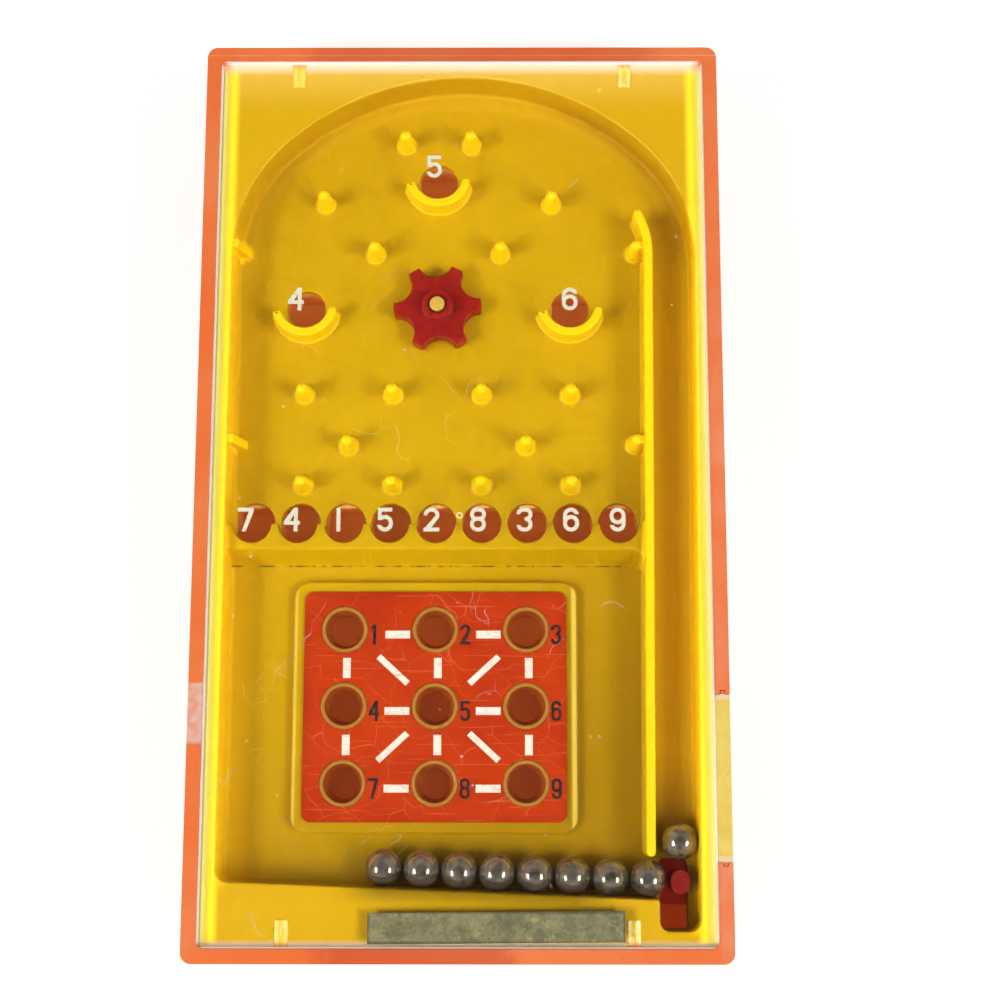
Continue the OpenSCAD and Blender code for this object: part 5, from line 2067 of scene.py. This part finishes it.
@dataclass
class Launcher:
    """The red launcher and the steel spring that returns it."""

    nodes: dict
    red: Finish
    steel: Finish
    edge: float = 0.2
    axis_x: float = 27.413
    axis_z: float = 3.451
    low_y: float = -44.55
    high_y: float = -31.55
    coil_r: float = 1.347
    wire_r: float = 0.18
    turns: float = 9.0
    keep: float = 0.669

    def coil(self) -> bpy.types.Mesh:
        """The spring's wire: a helix whose pitch runs out at both ends, so that they lie flat.

        Returns:
            The spring's mesh.
        """
        t = np.linspace(0, 1, 400)
        angle = 2 * np.pi * self.turns * t
        even = np.clip((t - 1 / self.turns) / (1 - 2 / self.turns), 0, 1)
        ends = np.clip(t * self.turns, 0, 1) + np.clip((t - 1) * self.turns + 1, 0, 1) - 1
        room = self.high_y - self.low_y - 6 * self.wire_r
        y = self.low_y + 3 * self.wire_r + room * even + 2 * self.wire_r * ends
        x, z = self.axis_x + self.coil_r * np.cos(angle), self.axis_z + self.coil_r * np.sin(angle)
        path = np.stack([x, y, z], 1)
        shells = Shells()
        shells.add(*tubed(path, self.wire_r))
        mesh = shells.mesh("return_spring")
        shaded(mesh, 60)
        return mesh

    def build(self) -> None:
        """Builds the launcher and its spring."""
        slide = softened(self.nodes["plunger"], "launcher_slide", self.edge, 3)
        carried(slide, Body.LAUNCHER, self.red, ["plunger"])
        spring = carried(placed(self.coil(), "return_spring"), Body.CASING, self.steel, ["plunger_spring"])
        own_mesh(spring)


@dataclass
class Balls:
    """The nine steel balls: one in the lane and eight in the tray."""

    plan: Layout
    finish: Finish
    lane: tuple = (28.054, -45.249)
    last: tuple = (23.988, -49.937)
    gap: float = 4.7925
    lean: float = 2.3

    def ball(self, name: str, centre: Sequence[float], body: Body | str, node: str) -> bpy.types.Object:
        """A sphere turned from a half circle, closed at both poles.

        Args:
            name: the piece's name.
            centre: its middle across the field.
            body: the body it rides on.
            node: the CAD node it stands for.

        Returns:
            The dressed ball.
        """
        half = arc((0, self.plan.ball_z), self.plan.ball_r, -90, 90, 41)
        half[0, 0] = half[-1, 0] = 0.0
        shells = Shells()
        shells.add(revolved(centre, half, 56))
        mesh = shells.mesh(name)
        shaded(mesh, 60)
        return carried(placed(mesh, name), body, self.finish, [node])

    def build(self) -> None:
        """Sets the lane's ball and the row of eight in the tray."""
        self.ball("shot_ball", self.lane, Body.LANE_BALL, "lane_ball")
        lean = math.radians(self.lean)
        for i in range(1, 9):
            away = (8 - i) * self.gap
            centre = (self.last[0] - away * math.cos(lean), self.last[1] + away * math.sin(lean))
            self.ball(f"waiting_ball_{i}", centre, f"tray_ball_{i}", f"tray_ball_{i}")


# Stage


@dataclass(frozen=True)
class Studio:
    """The floor, the two tall softboxes, the sky and the camera."""

    camera: tuple = (6.131, -41.349, 238.53)
    turn: tuple = (-0.1744, -0.004, -0.0005)
    focal: float = 1757.3
    frame: float = 1000.0
    lamp_way: tuple = (0.66, -0.28, 0.7)
    lamp_far: float = 1.0
    lamp_size: tuple = (0.2, 0.42)
    lamp_power: float = 4.35
    sky: tuple = (0.03, 0.5)
    horizon: tuple = (0.02, 0.2)
    ceiling: tuple = (0.72, 0.93)
    floor_half: float = 4.0
    glow_from: tuple = (150.0, 700.0)

    def floor(self) -> None:
        """A pale floor that keeps the object's shadow and is as bright as the sky further out."""
        mesh = bpy.data.meshes.new("floor")
        half = self.floor_half
        mesh.from_pydata(
            [(-half, -half, 0), (half, -half, 0), (half, half, 0), (-half, half, 0)], [], [(0, 1, 2, 3)]
        )
        graph = Graph("floor_paint")
        seen = graph.add("LightPath", {}, "Is Camera Ray")
        glossy = graph.add("LightPath", {}, "Is Glossy Ray")
        through = graph.add("LightPath", {}, "Is Transmission Ray")
        near, far = self.glow_from
        glow = (seen | (glossy | through)) * graph.length(graph.place).step(near, far, 0.5, 1.0)
        shader = graph.surface(
            Base_Color=(0.88, 0.88, 0.88, 1.0),
            Roughness=0.9,
            Emission_Color=(1.0, 1.0, 1.0, 1.0),
            Emission_Strength=glow,
        )
        mesh.materials.append(graph.done(shader))
        placed(mesh, "floor")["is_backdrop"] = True

    def lamps(self) -> None:
        """Two softboxes, left and right, their long sides along the object, turned to it."""
        for side, name in ((-1, "softbox_left"), (1, "softbox_right")):
            light = bpy.data.lights.new(name, "AREA")
            light.shape = "RECTANGLE"
            light.size, light.size_y = self.lamp_size
            light.energy = self.lamp_power
            way = Vector((side * self.lamp_way[0], self.lamp_way[1], self.lamp_way[2])).normalized()
            across = Vector((0.0, 1.0, 0.0)).cross(way).normalized()
            lamp = bpy.data.objects.new(name, light)
            turn = Matrix((across, way.cross(across), way)).transposed().to_4x4()
            lamp.matrix_world = Matrix.Translation(way * self.lamp_far) @ turn
            bpy.context.scene.collection.objects.link(lamp)

    def world(self) -> None:
        """A sky that is white at the horizon, middling above it and dark overhead, as in a studio
        with a dark ceiling."""
        world = bpy.data.worlds.new("sky")
        bpy.context.scene.world = world
        world.use_nodes = True
        tree = world.node_tree
        tree.nodes.clear()
        way = tree.nodes.new("ShaderNodeTexCoord")
        split = tree.nodes.new("ShaderNodeSeparateXYZ")
        tree.links.new(way.outputs["Generated"], split.inputs[0])
        parts = []
        dark, middling = self.sky
        for low, high, start, end in (
            (*self.horizon, 1.0 - middling, 0.0), (*self.ceiling, middling, dark)
        ):
            ramp = tree.nodes.new("ShaderNodeMapRange")
            ramp.interpolation_type = "SMOOTHSTEP"
            for name, value in zip(("From Min", "From Max", "To Min", "To Max"), (low, high, start, end)):
                ramp.inputs[name].default_value = value
            tree.links.new(split.outputs["Z"], ramp.inputs["Value"])
            parts.append(ramp)
        both = tree.nodes.new("ShaderNodeMath")
        back = tree.nodes.new("ShaderNodeBackground")
        out = tree.nodes.new("ShaderNodeOutputWorld")
        tree.links.new(parts[0].outputs[0], both.inputs[0])
        tree.links.new(parts[1].outputs[0], both.inputs[1])
        tree.links.new(both.outputs[0], back.inputs["Strength"])
        tree.links.new(back.outputs[0], out.inputs["Surface"])

    def viewpoint(self) -> None:
        """The camera: its place and turn, and the lens that gives the fitted focal length."""
        data = bpy.data.cameras.new("camera")
        data.sensor_width = 36.0
        data.lens = self.focal / self.frame * data.sensor_width
        data.clip_start, data.clip_end = 0.01, 20.0
        camera = bpy.data.objects.new("camera", data)
        bpy.context.scene.collection.objects.link(camera)
        turn = Vector(self.turn)
        seen = Quaternion(turn.normalized(), turn.length).to_matrix()
        camera.matrix_world = Matrix.Translation(Vector(self.camera) * MM) @ seen.transposed().to_4x4()
        bpy.context.scene.camera = camera

    def build(self) -> None:
        """Sets the stage."""
        self.floor()
        self.lamps()
        self.world()
        self.viewpoint()
        bpy.context.scene.view_settings.view_transform = "Standard"


def corners() -> list[list[float]]:
    """The shown object's lowest and highest corners as plain lists."""
    return [[float(v) for v in corner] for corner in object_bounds()]


def main() -> None:
    """Builds the sub-assemblies in order on the loaded frame."""
    logging.basicConfig(level=logging.INFO, format="%(name)s %(message)s")
    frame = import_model()
    nodes = frame["nodes"]
    plan = Layout()
    orange = Moulded("orange_shell", Slot.ORANGE)
    yellow = FieldPlastic("yellow_moulding", Slot.YELLOW)
    clear = ClearPlastic("clear_cover_plastic", Slot.CLEAR)
    red = RedPlastic("deep_red_plastic", Slot.RED)
    steel = Steel("ball_steel_dull", Slot.BALL)
    cream = Ink("cover_cream", Slot.CREAM, (255, 250, 222), (196, 140, 84), (190, 150, 110), 0.3, 0.35)
    white = Ink("card_white", Slot.CARD_WHITE, (240, 222, 205), (205, 60, 20), (150, 90, 60), 0.35, 0.45)
    # painted shade: the brown border round the cover's figures stands for the shade at their edges
    figure_edge_shade = Ink("cover_cream_edge", Slot.CREAM, (150, 96, 52), (120, 70, 30), (90, 50, 20), 0.3, 0.2)
    rust = Ink("card_white_edge", Slot.CARD_WHITE, (176, 120, 88), (150, 60, 30), (110, 60, 40), 0.4, 0.3)
    outlines = {
        "cover_numerals": ("cover_figures", 0.09, cream, figure_edge_shade),
        "card_lines": ("card_bars", 0.07, white, rust),
    }
    inks = {
        "score_card": PrintedCard("card_print", Slot.CARD),
        "card_numerals": Ink("card_black", Slot.BLACK, (16, 8, 4), (110, 36, 12), (60, 30, 14), 0.2, 0.22),
        "label_strip": OldLabel("label_bare", Slot.LABEL),
    }
    Studio().build()
    Moulding(plan, yellow).build()
    lug_top, tan = Lug("cover_lugs", Slot.CLEAR), Strip("tan_strip", Slot.TAN)
    Casing(nodes, orange, clear, lug_top, tan, inks, outlines).build()
    Star(nodes, red).build()
    wire = Steel("spring_wire", Slot.SPRING, (150, 148, 146), (110, 104, 100), 0.22)
    Launcher(nodes, red, wire).build()
    Balls(plan, steel).build()


if __name__ == "__main__":
    main()
